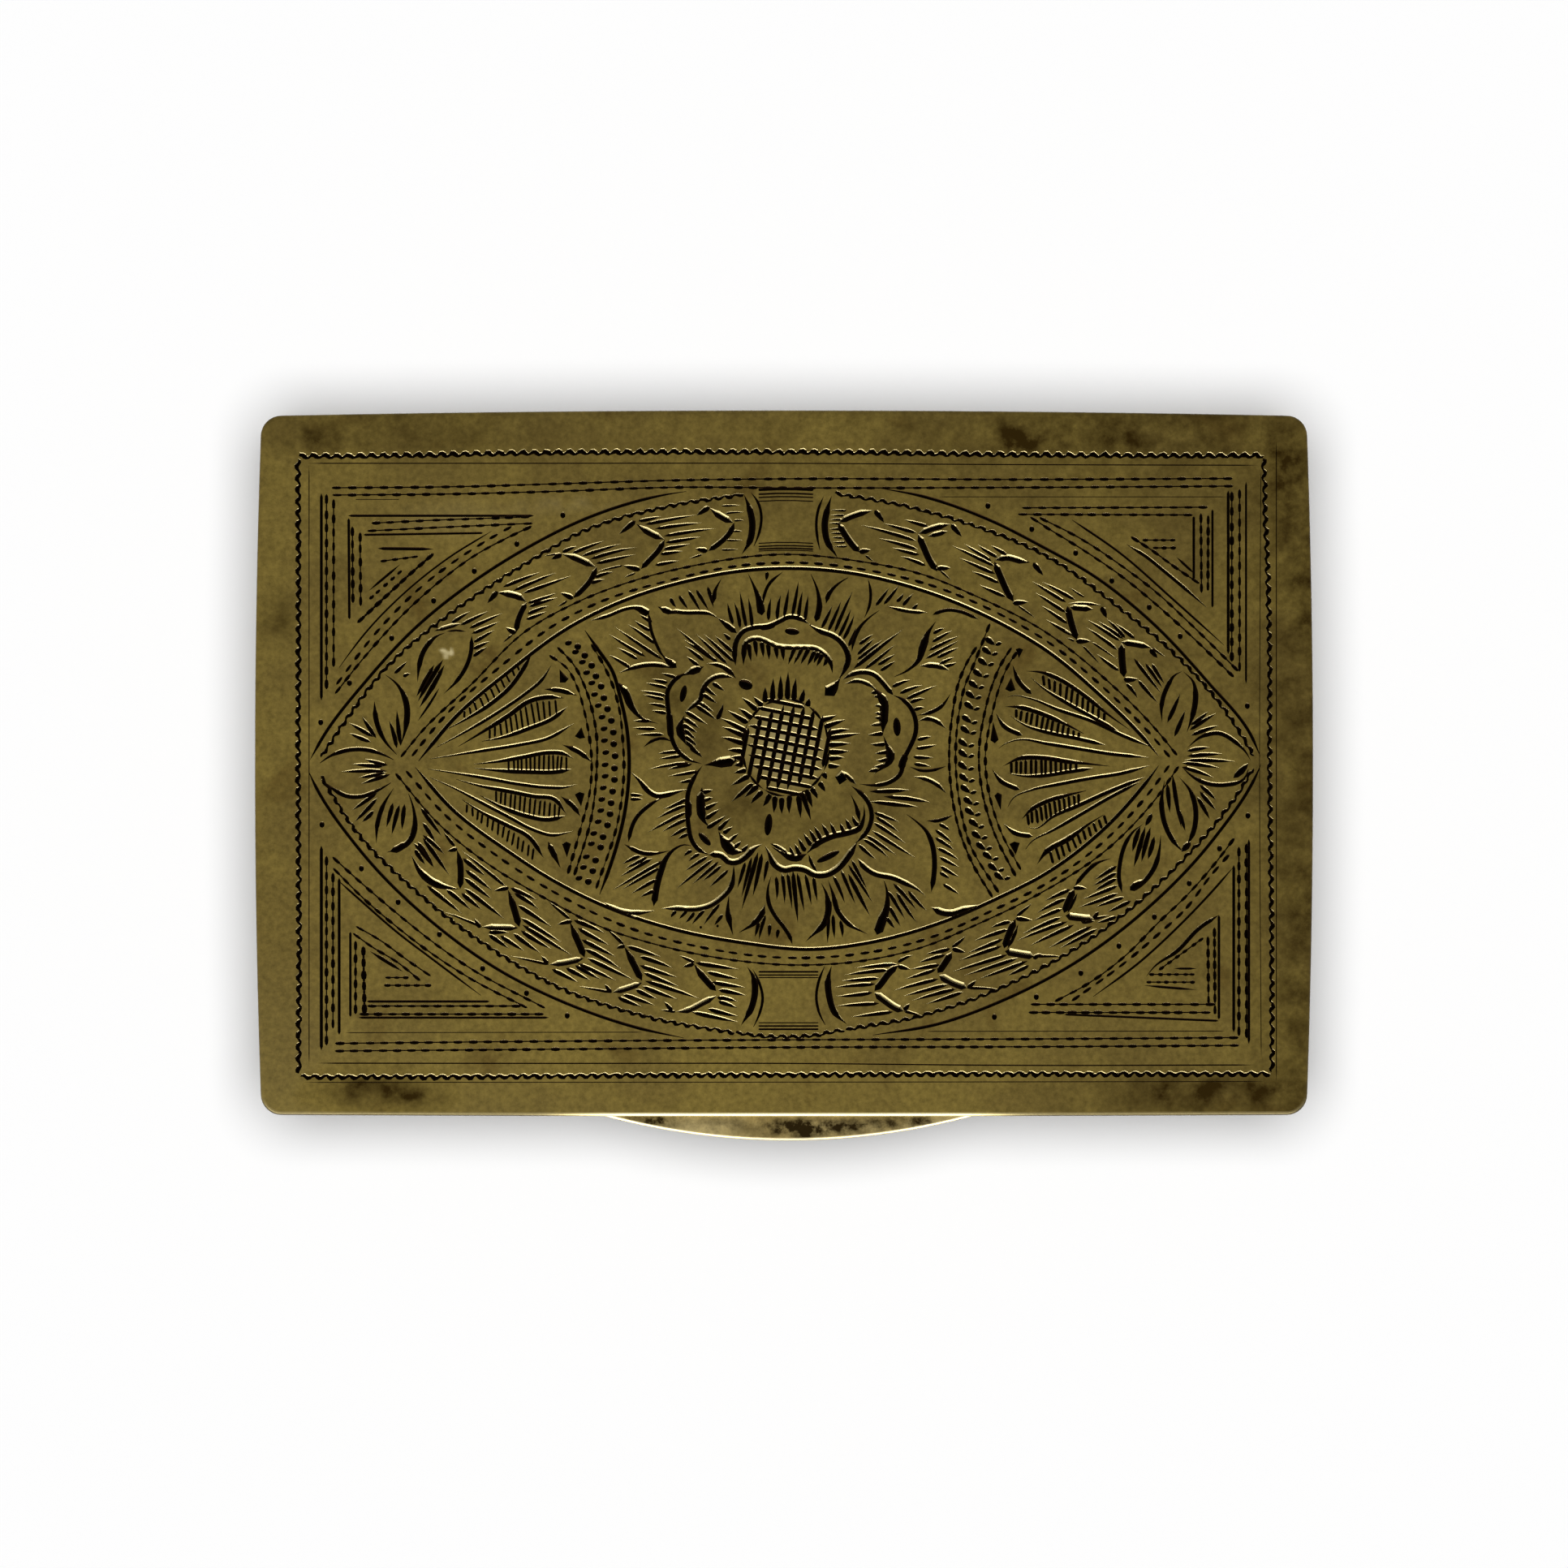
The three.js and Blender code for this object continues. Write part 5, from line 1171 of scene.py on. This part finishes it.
def plan(inset, count=24):
    """The lid's outline, moved inwards: four bowed edges, each a quadratic curve, and between them four
    corners, each a cubic curve that stands for a quarter circle."""
    half, front, back = lid_half - inset, lid_front + inset, lid_back - inset
    radius = max(lid_corner - inset, 0.1)
    x, y0, y1 = half - side_bow, front + front_bow, back - back_bow
    middle, handle = (y0 + y1) / 2, radius * (1 - 4 / 3 * (np.sqrt(2) - 1))
    edges = (
        ((-x + radius, y0), (0, front - front_bow), (x - radius, y0)),
        ((x, y0 + radius), (half + side_bow, middle), (x, y1 - radius)),
        ((x - radius, y1), (0, back + back_bow), (-x + radius, y1)),
        ((-x, y1 - radius), (-half - side_bow, middle), (-x, y0 + radius)),
    )
    corners = (
        ((x - handle, y0), (x, y0 + handle)), ((x, y1 - handle), (x - handle, y1)),
        ((-x + handle, y1), (-x, y1 - handle)), ((-x, y0 + handle), (-x + handle, y0)),
    )
    points = []
    for k in range(4):
        t = np.linspace(0, 1, 3 * count, endpoint=False)[:, None]
        a, b, c = np.array(edges[k])
        points.append((1 - t) ** 2 * a + 2 * t * (1 - t) * b + t**2 * c)
        t = np.linspace(0, 1, count // 3, endpoint=False)[:, None]
        a, b = c, np.array(edges[(k + 1) % 4][0])
        p, q = np.array(corners[k])
        points.append((1 - t) ** 3 * a + 3 * t * (1 - t) ** 2 * p + 3 * t**2 * (1 - t) * q + t**3 * b)
    return np.concatenate(points)


def groove_chains(path, half):
    """A groove's edges and its bottom line as chains of points: the path moved sideways by half its width."""
    along = np.gradient(path, axis=0)
    side = np.column_stack([-along[:, 1], along[:, 0]]) / np.maximum(np.hypot(*along.T), 1e-9)[:, None]
    return [path + side * half[:, None] * k for k in (-1, 0, 1)]


def sunk(points, grooves):
    """How far each point lies inside a groove's edge: half the groove's width at the nearest place of its
    path less the distance to there, the most of all grooves, nought outside; and the wall's bare width."""
    most, bare_there = np.zeros(len(points)), np.zeros(len(points))
    order = points[:, 0].argsort()
    across = points[order, 0]
    for path, sizes in grooves:
        for first in range(0, len(path) - 1, 12):
            part, (width, bare) = path[first : first + 13], sizes[first : first + 13].T
            reach = width.max()
            (left, low), (right, high) = part.min(0) - reach, part.max(0) + reach
            near = order[slice(*across.searchsorted((left, right)))]
            near = near[(points[near, 1] > low) & (points[near, 1] < high)]
            if len(near) == 0:
                continue
            start, step = part[:-1], np.diff(part, axis=0)
            away = points[near, None] - start
            share = np.clip((away * step).sum(2) / np.maximum((step**2).sum(1), 1e-12), 0, 1)
            distance = np.linalg.norm(away - share[..., None] * step, axis=2)
            nearest = distance.argmin(1)[:, None]
            room = np.take_along_axis(width[:-1] + share * np.diff(width), nearest, 1)[:, 0]
            inside = room - np.take_along_axis(distance, nearest, 1)[:, 0]
            deeper = inside > most[near]
            most[near[deeper]] = inside[deeper]
            bare_there[near[deeper]] = bare[nearest[deeper, 0]]
    return np.where(most > least_depth, most, 0), bare_there


# A groove is a little wider than its dark part, by half its bare wall too. Between the grooves the face takes
# the points of an uneven grid 2 mm apart, and of a fine one where a bright scratch is to lie
grooves = [(path, np.column_stack([overcut * half + bare / 2, bare])) for path, half, bare in strokes]
outline = plan(rim)
xs, ys = np.meshgrid(np.arange(-39, 40, 2), np.arange(-25.5, 26, 2))
spread = np.column_stack([xs.ravel(), ys.ravel()]) + hand.uniform(-0.7, 0.7, (xs.size, 2))
xs, ys = np.meshgrid(np.arange(-27, -25.1, 0.15), np.arange(7.7, 9.1, 0.15))
spread = np.vstack([spread, np.column_stack([xs.ravel(), ys.ravel()])])
chains = [np.vstack([outline, outline[:1]])]
for path, sizes in grooves:
    chains += groove_chains(path, sizes[:, 0])
starts = np.cumsum([0] + [len(chain) for chain in chains])
links = np.concatenate([np.arange(a, b - 1) for a, b in zip(starts[:-1], starts[1:])])
links = np.column_stack([links, links + 1]).tolist()
flat = np.vstack(chains + [spread])
long_side, long_error, short_error, spike_length = 0.5, 0.006, 0.03, 0.2
for last in (False, False, True):
    net = delaunay_2d_cdt([Vector(p) for p in flat.tolist()], links, [], 0, 1e-5)
    top, corners = np.array([p[:] for p in net[0]]), np.array(net[2])
    depth, bare_there = sunk(top, grooves)
    sides = np.unique(np.sort(corners[:, [0, 1, 1, 2, 2, 0]].reshape(-1, 2), axis=1), axis=0)
    length = np.linalg.norm(np.diff(top[sides], axis=1)[:, 0], axis=1)
    halfway = sunk(top[sides].mean(1), grooves)[0]
    deep = depth[sides].argmax(1)[:, None]
    if last:
        # A deep point with a side that runs out of its groove would show as a spike: it is lifted to the top
        spikes = (halfway == 0) & (length > spike_length)
        depth[np.take_along_axis(sides, deep, 1)[spikes, 0]] = 0
        break
    # Where a side of a triangle misses the groove's true depth, a point is added where it leaves the groove
    error = np.abs(halfway - depth[sides].mean(1))
    astray = error > np.where(length > long_side, long_error, short_error)
    inner, outer = (top[np.take_along_axis(sides, k, 1)[astray, 0]] for k in (deep, 1 - deep))
    for halving in range(3):
        middles = (inner + outer) / 2
        within = (sunk(middles, grooves)[0] > 0)[:, None]
        inner, outer = np.where(within, middles, inner), np.where(within, outer, middles)
    flat = np.vstack([flat, (inner + outer) / 2])

# The rounded rims: rings of points from the top's outline round to the underside
turn = np.linspace(0, np.pi / 2, 6)
sections = [(rim - rim * np.sin(a), lid_top - rim + rim * np.cos(a)) for a in turn[1:]]
sections += [(rim - rim * np.cos(a), lid_bottom + rim - rim * np.sin(a)) for a in turn]
rings = [np.column_stack([plan(inset), np.full(len(outline), z)]) for inset, z in sections]
points = np.vstack([np.column_stack([top, lid_top - steepness * depth])] + rings)
count = len(outline)
order = {first: i for i, origins in enumerate(net[3]) for first in origins if first < count}
loops = [np.array([order[i] for i in range(count)])]
loops += [len(top) + count * k + np.arange(count) for k in range(len(rings))]
faces = list(net[2])
for upper, lower in zip(loops[:-1], loops[1:]):
    faces += np.column_stack([upper, lower, np.roll(lower, -1), np.roll(upper, -1)]).tolist()
faces.append(loops[-1][::-1].tolist())
mesh = bpy.data.meshes.new("engraved_lid")
mesh.from_pydata((points / 1000).tolist(), [], faces)
smooth_faces = np.zeros(len(faces), bool)
smooth_faces[len(net[2]) : -1] = True
mesh.polygons.foreach_set("use_smooth", smooth_faces)

# Dirt fills each groove, and painted shade darkens with it the whole wall that faces away from the front
# lamp;
# only the upper part of the wall that faces the front stays clean. Dirt and painted shade lie on the front
# rim too, dimming the lamp's glint there, but thumbs have rubbed the middle of that bright, and a painted
# highlight lies on that wear
hair_line, brim, clean, soft = 0.015, 0.012, -0.05, 0.01
thumb_reach, thumb_fade, rim_dirt_and_shade, steep_wall = 15, 1.2, 0.014, 0.55
corner_of = np.empty(len(mesh.loops), int)
mesh.loops.foreach_get("vertex_index", corner_of)
normals = np.empty(3 * len(faces))
mesh.polygon_normals.foreach_get("vector", normals)
sizes = np.empty(len(faces), int)
mesh.polygons.foreach_get("loop_total", sizes)
facing_front = np.repeat(np.clip(-normals.reshape(-1, 3)[:, 1] / steep_wall, 0, 1), sizes)
off_top = np.zeros(len(points) - len(top))
below, walls = (np.r_[values, off_top][corner_of] for values in (depth, bare_there))
first_corners = np.r_[0, np.cumsum(sizes)[:-1]]
deepest, bare = (np.repeat(np.maximum.reduceat(values, first_corners), sizes) for values in (below, walls))
# Painted shade: along with the dirt, the wall that faces away from the front lamp is darkened, and only the
# upper part of the front-facing wall is left clean
dirt_and_shade = np.where(deepest > hair_line, below + brim - facing_front * bare, clean)
# Thumb wear with a painted highlight: the front rim's middle, where it faces the lamp, is made pale
thumbed = (1 / (1 + np.exp((np.abs(points[:, 0]) - thumb_reach) / thumb_fade)))[corner_of]
on_rim = np.arange(len(corner_of)) >= 3 * len(net[2])
rubbed = np.where(on_rim, facing_front * thumbed, 0)
# Painted shade: the front rim is darkened where it faces the lamp, away from the thumbs, along with its dirt
dirt_and_shade = np.where(on_rim, rim_dirt_and_shade * facing_front * (1 - thumbed) - soft, dirt_and_shade)
for name, values in (("dirt_and_shade", dirt_and_shade), ("front_face_highlight", facing_front), ("rubbed", rubbed)):
    mesh.attributes.new(name, "FLOAT", "CORNER").data.foreach_set("value", values.astype(np.float32))


def soft_spots(points, spots):
    """The sum of soft spots at each point: each a bell curve, given by its x, y, half width, half height and
    strength."""
    x, y, across, up, strength = np.array(spots).T
    away = ((points[:, :1] - x) / across) ** 2 + ((points[:, 1:2] - y) / up) ** 2
    return (strength * np.exp(-away)).sum(1)


# Darker in a band along the right margin, darker towards the back and the right and lighter towards the front
# and the left, and brown tarnish in spots on the margins and the rose
right_margin_darkening, margin_start, margin_fade = 0.42, 37.8, 1.2
all_over, rising = 0.14, (0.002, 0.0045)
tarnish = right_margin_darkening / (1 + np.exp(-(points[:, 0] - margin_start) / margin_fade))
tarnish += all_over + points[:, :2] @ rising
tarnish += soft_spots(points, (
    (-35.6, 24.7, 1.3, 0.7, 0.55), (-30, 25.5, 9, 1.8, 0.42), (18, 24.6, 1.6, 0.7, 0.5),
    (26, 25.4, 14, 2.2, 0.48), (-33, -25.5, 2.4, 1.1, 1), (-29.3, -25.8, 2.1, 1, 1.1),
    (32, -25.9, 7, 1.4, 1.1), (-39.3, 11.2, 1.1, 1.2, 0.75), (38.8, 21.5, 1, 3, 0.25),
    (39.8, 26, 3, 2, -0.35), (-6.3, 3, 2.2, 2.6, 0.35), (-3.4, -3.4, 2.4, 2, 0.4), (8, -2.6, 2.5, 1.5, 0.3),
    (-9.5, 5, 2, 2.5, 0.3), (1.5, -4.5, 3, 2, 0.2), (disc_x, disc_y, 3, 3.3, -0.7), (-25, 19, 9, 3, -0.25),
    (-15, 20, 5, 1, -0.25), (39.5, -14, 1.5, 9, 0.2), (-26.4, 8.6, 0.25, 0.13, -2),
    (-26.05, 8.38, 0.35, 0.1, -2), (-25.75, 8.5, 0.12, 0.28, -1.7), (-26.2, 8.1, 0.2, 0.15, -1.5),
))
mesh.attributes.new("tarnish", "FLOAT", "POINT").data.foreach_set("value", tarnish.astype(np.float32))
engraved_lid = bpy.data.objects.new("engraved_lid", mesh)
bpy.context.scene.collection.objects.link(engraved_lid)


def browned(tree, place, colour, width, patches, code):
    """A colour turned brown as far as the tarnish attribute says, in patches of a width in millimetres: noise
    between the first two limits scales the attribute from the third to the fourth. Returns both."""
    darker = add(tree, "Attribute", attribute_name="tarnish").outputs["Fac"]
    patch_noise = {"Vector": place, "Scale": per_metre(width), "Detail": 5, "Roughness": 0.65}
    patch = add(tree, "TexNoise", patch_noise)
    patchy = add(tree, "MapRange", {"Value": patch.outputs[0], **dict(enumerate(patches, 1))}).outputs[0]
    share = add(tree, "Math", {0: darker, 1: patchy}, operation="MULTIPLY", use_clamp=True).outputs[0]
    brown = add(tree, "Mix", {0: share, 6: colour.outputs[0], 7: linear(code)}, data_type="RGBA")
    return darker, brown.outputs[2]


# Old engraved brass: an olive ground, brown tarnish, near-black dirt in the cuts with painted shade on the
# walls that face away from the front lamp, a painted highlight on the walls and rim that face the front, pale
# metal where the tarnish falls below nought, and thumb wear with a painted highlight on the front rim's
# middle
tree, place, colour, shader = aged_brass(
    "engraved aged brass", "#72622f", "#64552a", "#5a4a22", roughness=0.46,
)
darker, brown = browned(tree, place, colour, 2.2, (0.32, 0.68, 0.45, 1.5), "#2b1f08")
polish = add(tree, "Math", {0: darker, 1: -0.75}, operation="MULTIPLY", use_clamp=True).outputs[0]
polished = add(tree, "Mix", {0: polish, 6: brown, 7: linear("#b0a378")}, data_type="RGBA")
# Painted highlight: a paler colour on every face turned to the front lamp, on the groove walls that face it
# and on the front rim
front_face_highlight = add(tree, "Attribute", attribute_name="front_face_highlight").outputs["Fac"]
front_highlight_colour = add(tree, "Mix", {0: front_face_highlight, 6: polished.outputs[2], 7: linear("#8a7e58")}, data_type="RGBA")
# Dirt in the cuts and on the rim, with painted shade on the walls that face away from the front lamp
groove = add(tree, "Attribute", attribute_name="dirt_and_shade").outputs["Fac"]
over_edge = {"Value": groove, 1: -soft, 2: soft}
filled = add(tree, "MapRange", over_edge, interpolation_type="SMOOTHSTEP").outputs[0]
dirty = add(tree, "Mix", {0: filled, 6: front_highlight_colour.outputs[2], 7: linear("#120a04")}, data_type="RGBA")
# The rubbed rim: thumb wear with a painted highlight on the front rim's middle
handled = add(tree, "Attribute", attribute_name="rubbed").outputs["Fac"]
rim_wear_and_highlight = add(tree, "Mix", {0: handled, 6: dirty.outputs[2], 7: linear("#dac992")}, data_type="RGBA")
tree.links.new(rim_wear_and_highlight.outputs[2], shader.inputs["Base Color"])
engraved_lid.data.materials.append(bpy.data.materials["engraved aged brass"])
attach(engraved_lid, "lid")
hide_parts("lid_plate")


# Thumb lip: a segment of a brass disc 1 mm thick, soldered under the lid's front edge, with rounded rims.
# Thumbs have rubbed it pale, and dark tarnish is left in patches; along the rim a pale band is partly bright
# worn metal and partly a painted highlight.
lip_middle, lip_front, lip_back, lip_radius = 0.35, -29.4, -26.65, 54.76
lip_top, lip_bottom, lip_rim = 18.7, 17.7, 0.25
stations, shelf_steps = 121, 6
half_length = np.sqrt(lip_radius**2 - (lip_radius + lip_front - lip_back) ** 2) - 1e-3
station = half_length * np.sin(np.linspace(-np.pi / 2, np.pi / 2, stations))
edge = lip_front + lip_radius - np.sqrt(lip_radius**2 - station**2)
bow = np.minimum(lip_rim, (lip_back - edge) / 2)[:, None]
turn = np.linspace(0, np.pi / 2, 6)
inwards = np.r_[1 - np.sin(turn), 1 - np.cos(turn)]
# Round the section: along the top from the back to the rim, over the rim, and back along the underside
shelf = np.linspace(0, 1, shelf_steps, endpoint=False)
across = np.hstack([
    lip_back + shelf * (edge[:, None] + bow - lip_back), edge[:, None] + bow * inwards,
    (edge[:, None] + bow) + (1 - shelf[::-1]) * (lip_back - edge[:, None] - bow),
])
level = np.hstack([
    np.full((stations, shelf_steps), lip_top), lip_top - bow * (1 - np.cos(turn)),
    lip_bottom + bow * (1 - np.sin(turn)), np.full((stations, shelf_steps), lip_bottom),
])
points = np.stack([np.broadcast_to(lip_middle + station[:, None], across.shape), across, level], axis=2)
rows, around = across.shape
index = np.arange(rows * around).reshape(rows, around)
ahead = np.roll(index, -1, axis=1)
faces = np.stack([index[:-1], index[1:], ahead[1:], ahead[:-1]], axis=2).reshape(-1, 4)
mesh = bpy.data.meshes.new("rubbed_lip")
ends = [index[0].tolist(), index[-1, ::-1].tolist()]
mesh.from_pydata((points.reshape(-1, 3) / 1000).tolist(), [], faces.tolist() + ends)
mesh.polygons.foreach_set("use_smooth", np.r_[np.ones(len(faces), bool), [False, False]])
tarnish = soft_spots(points.reshape(-1, 3), (
    (1.3, -28.45, 3.2, 0.75, 1.3), (6.8, -28.2, 2.8, 0.8, 0.62), (-10.3, -27.9, 2.2, 0.6, 0.9),
    (-4.8, -28, 1.8, 0.5, 0.45), (10.5, -27.9, 2, 0.6, 0.6),
))
# The rim's pale band, partly wear and partly a painted highlight that peaks halfway round the upper rounding,
# is strongest at the lip's two ends, and all along less below than above
wear = 0.35 + 0.65 * np.abs(station / half_length) ** 1.5
upper_rim_wear_and_highlight, lower_rim_wear_and_highlight = np.sin(2 * turn) ** 0.5, np.full(len(turn), 0.6)
rubbed = np.outer(wear, np.r_[np.zeros(shelf_steps), upper_rim_wear_and_highlight, lower_rim_wear_and_highlight, np.zeros(shelf_steps)]).ravel()
for name, values in (("tarnish", tarnish), ("rubbed", rubbed)):
    mesh.attributes.new(name, "FLOAT", "POINT").data.foreach_set("value", values.astype(np.float32))
rubbed_lip = bpy.data.objects.new("rubbed_lip", mesh)
bpy.context.scene.collection.objects.link(rubbed_lip)

# Brass rubbed by thumbs: paler than the lid, patched with brown, with a pale line along the rim that is
# partly bright metal and partly a painted highlight
tree, place, colour, shader = aged_brass(
    "thumb-rubbed brass", "#a09062", "#857446", "#5d4c26", roughness=0.44,
)
_, brown = browned(tree, place, colour, 1.3, (0.36, 0.62, 0.15, 1.6), "#251c0b")
# Pale rim band: wear and a painted highlight
rim_wear_and_highlight_share = add(tree, "Attribute", attribute_name="rubbed").outputs["Fac"]
rim_wear_and_highlight_colour = add(tree, "Mix", {0: rim_wear_and_highlight_share, 6: brown, 7: linear("#e4d6a8")}, data_type="RGBA")
tree.links.new(rim_wear_and_highlight_colour.outputs[2], shader.inputs["Base Color"])
rubbed_lip.data.materials.append(bpy.data.materials["thumb-rubbed brass"])
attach(rubbed_lip, "lid")
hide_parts("thumb_lip")


# Stage: a white table top, one soft lamp straight above for the narrow shadow all round, and a low soft box
# in front that glints on rims and on the groove walls that face it. Metal mirrors a white room.
scene = bpy.context.scene
floor_mesh = bpy.data.meshes.new("floor")
floor_mesh.from_pydata([(-4, -4, 0), (4, -4, 0), (4, 4, 0), (-4, 4, 0)], [], [(0, 1, 2, 3)])
floor = bpy.data.objects.new("floor", floor_mesh)
scene.collection.objects.link(floor)
paper = bpy.data.materials.new("white paper")
paper.use_nodes = True
for name, value in (("Base Color", linear("#fdfdfd")), ("Roughness", 1), ("Specular IOR Level", 0)):
    paper.node_tree.nodes["Principled BSDF"].inputs[name].default_value = value
floor_mesh.materials.append(paper)

# The room is white to the camera and in the metal, but sheds next to no light of its own
room = bpy.data.worlds.new("white room")
room.use_nodes = True
room.node_tree.nodes.clear()
ray = add(room.node_tree, "LightPath").outputs
shiny = add(
    room.node_tree, "Math", {0: ray["Is Glossy Ray"], 1: ray["Is Transmission Ray"]}, operation="MAXIMUM",
)
direct = add(room.node_tree, "Math", {0: shiny.outputs[0], 1: ray["Diffuse Depth"]}, operation="SUBTRACT")
straight = {0: ray["Is Camera Ray"], 1: direct.outputs[0]}
seen = add(room.node_tree, "Math", straight, operation="MAXIMUM", use_clamp=True)
level = add(room.node_tree, "MapRange", {"Value": seen.outputs[0], 3: 0.02, 4: 1})
sky = add(room.node_tree, "Background", {"Color": linear("#ffffff"), "Strength": level.outputs[0]})
add(room.node_tree, "OutputWorld", {"Surface": sky.outputs[0]})
scene.world = room

overhead = bpy.data.objects.new("overhead lamp", bpy.data.lights.new("overhead lamp", "SUN"))
overhead.data.energy = 3.1
overhead.data.angle = np.radians(26)
overhead.visible_glossy = False
scene.collection.objects.link(overhead)

front_box = bpy.data.objects.new("front soft box", bpy.data.lights.new("front soft box", "AREA"))
front_box.data.shape = "RECTANGLE"
front_box.data.size, front_box.data.size_y = 0.9, 0.16
front_box.data.energy = 10
front_box.location = (-0.1, -0.6, 0.16)
front_box.rotation_euler = (np.radians(77), 0, np.radians(-9))
front_box.visible_diffuse = False
front_box.visible_camera = False
front_box.data.use_nodes = True
glow = front_box.data.node_tree
bounces = add(glow, "LightPath").outputs["Diffuse Depth"]
on_metal = add(glow, "Math", {0: 1, 1: bounces}, operation="SUBTRACT", use_clamp=True)
glow.links.new(on_metal.outputs[0], glow.nodes["Emission"].inputs["Strength"])
scene.collection.objects.link(front_box)

# A long lens straight above the lid: 2 m away, with 121.5 mm of the lid's level across the picture
view_distance, view_width, view_middle = 2, 0.1215, -0.00175
camera = bpy.data.objects.new("camera", bpy.data.cameras.new("camera"))
camera.data.sensor_width = 36
camera.data.lens = camera.data.sensor_width * view_distance / view_width
camera.location = (0, view_middle, view_distance + lid_top / 1000)
camera.data.clip_end = 20
scene.collection.objects.link(camera)
scene.camera = camera
scene.view_settings.view_transform = "Standard"
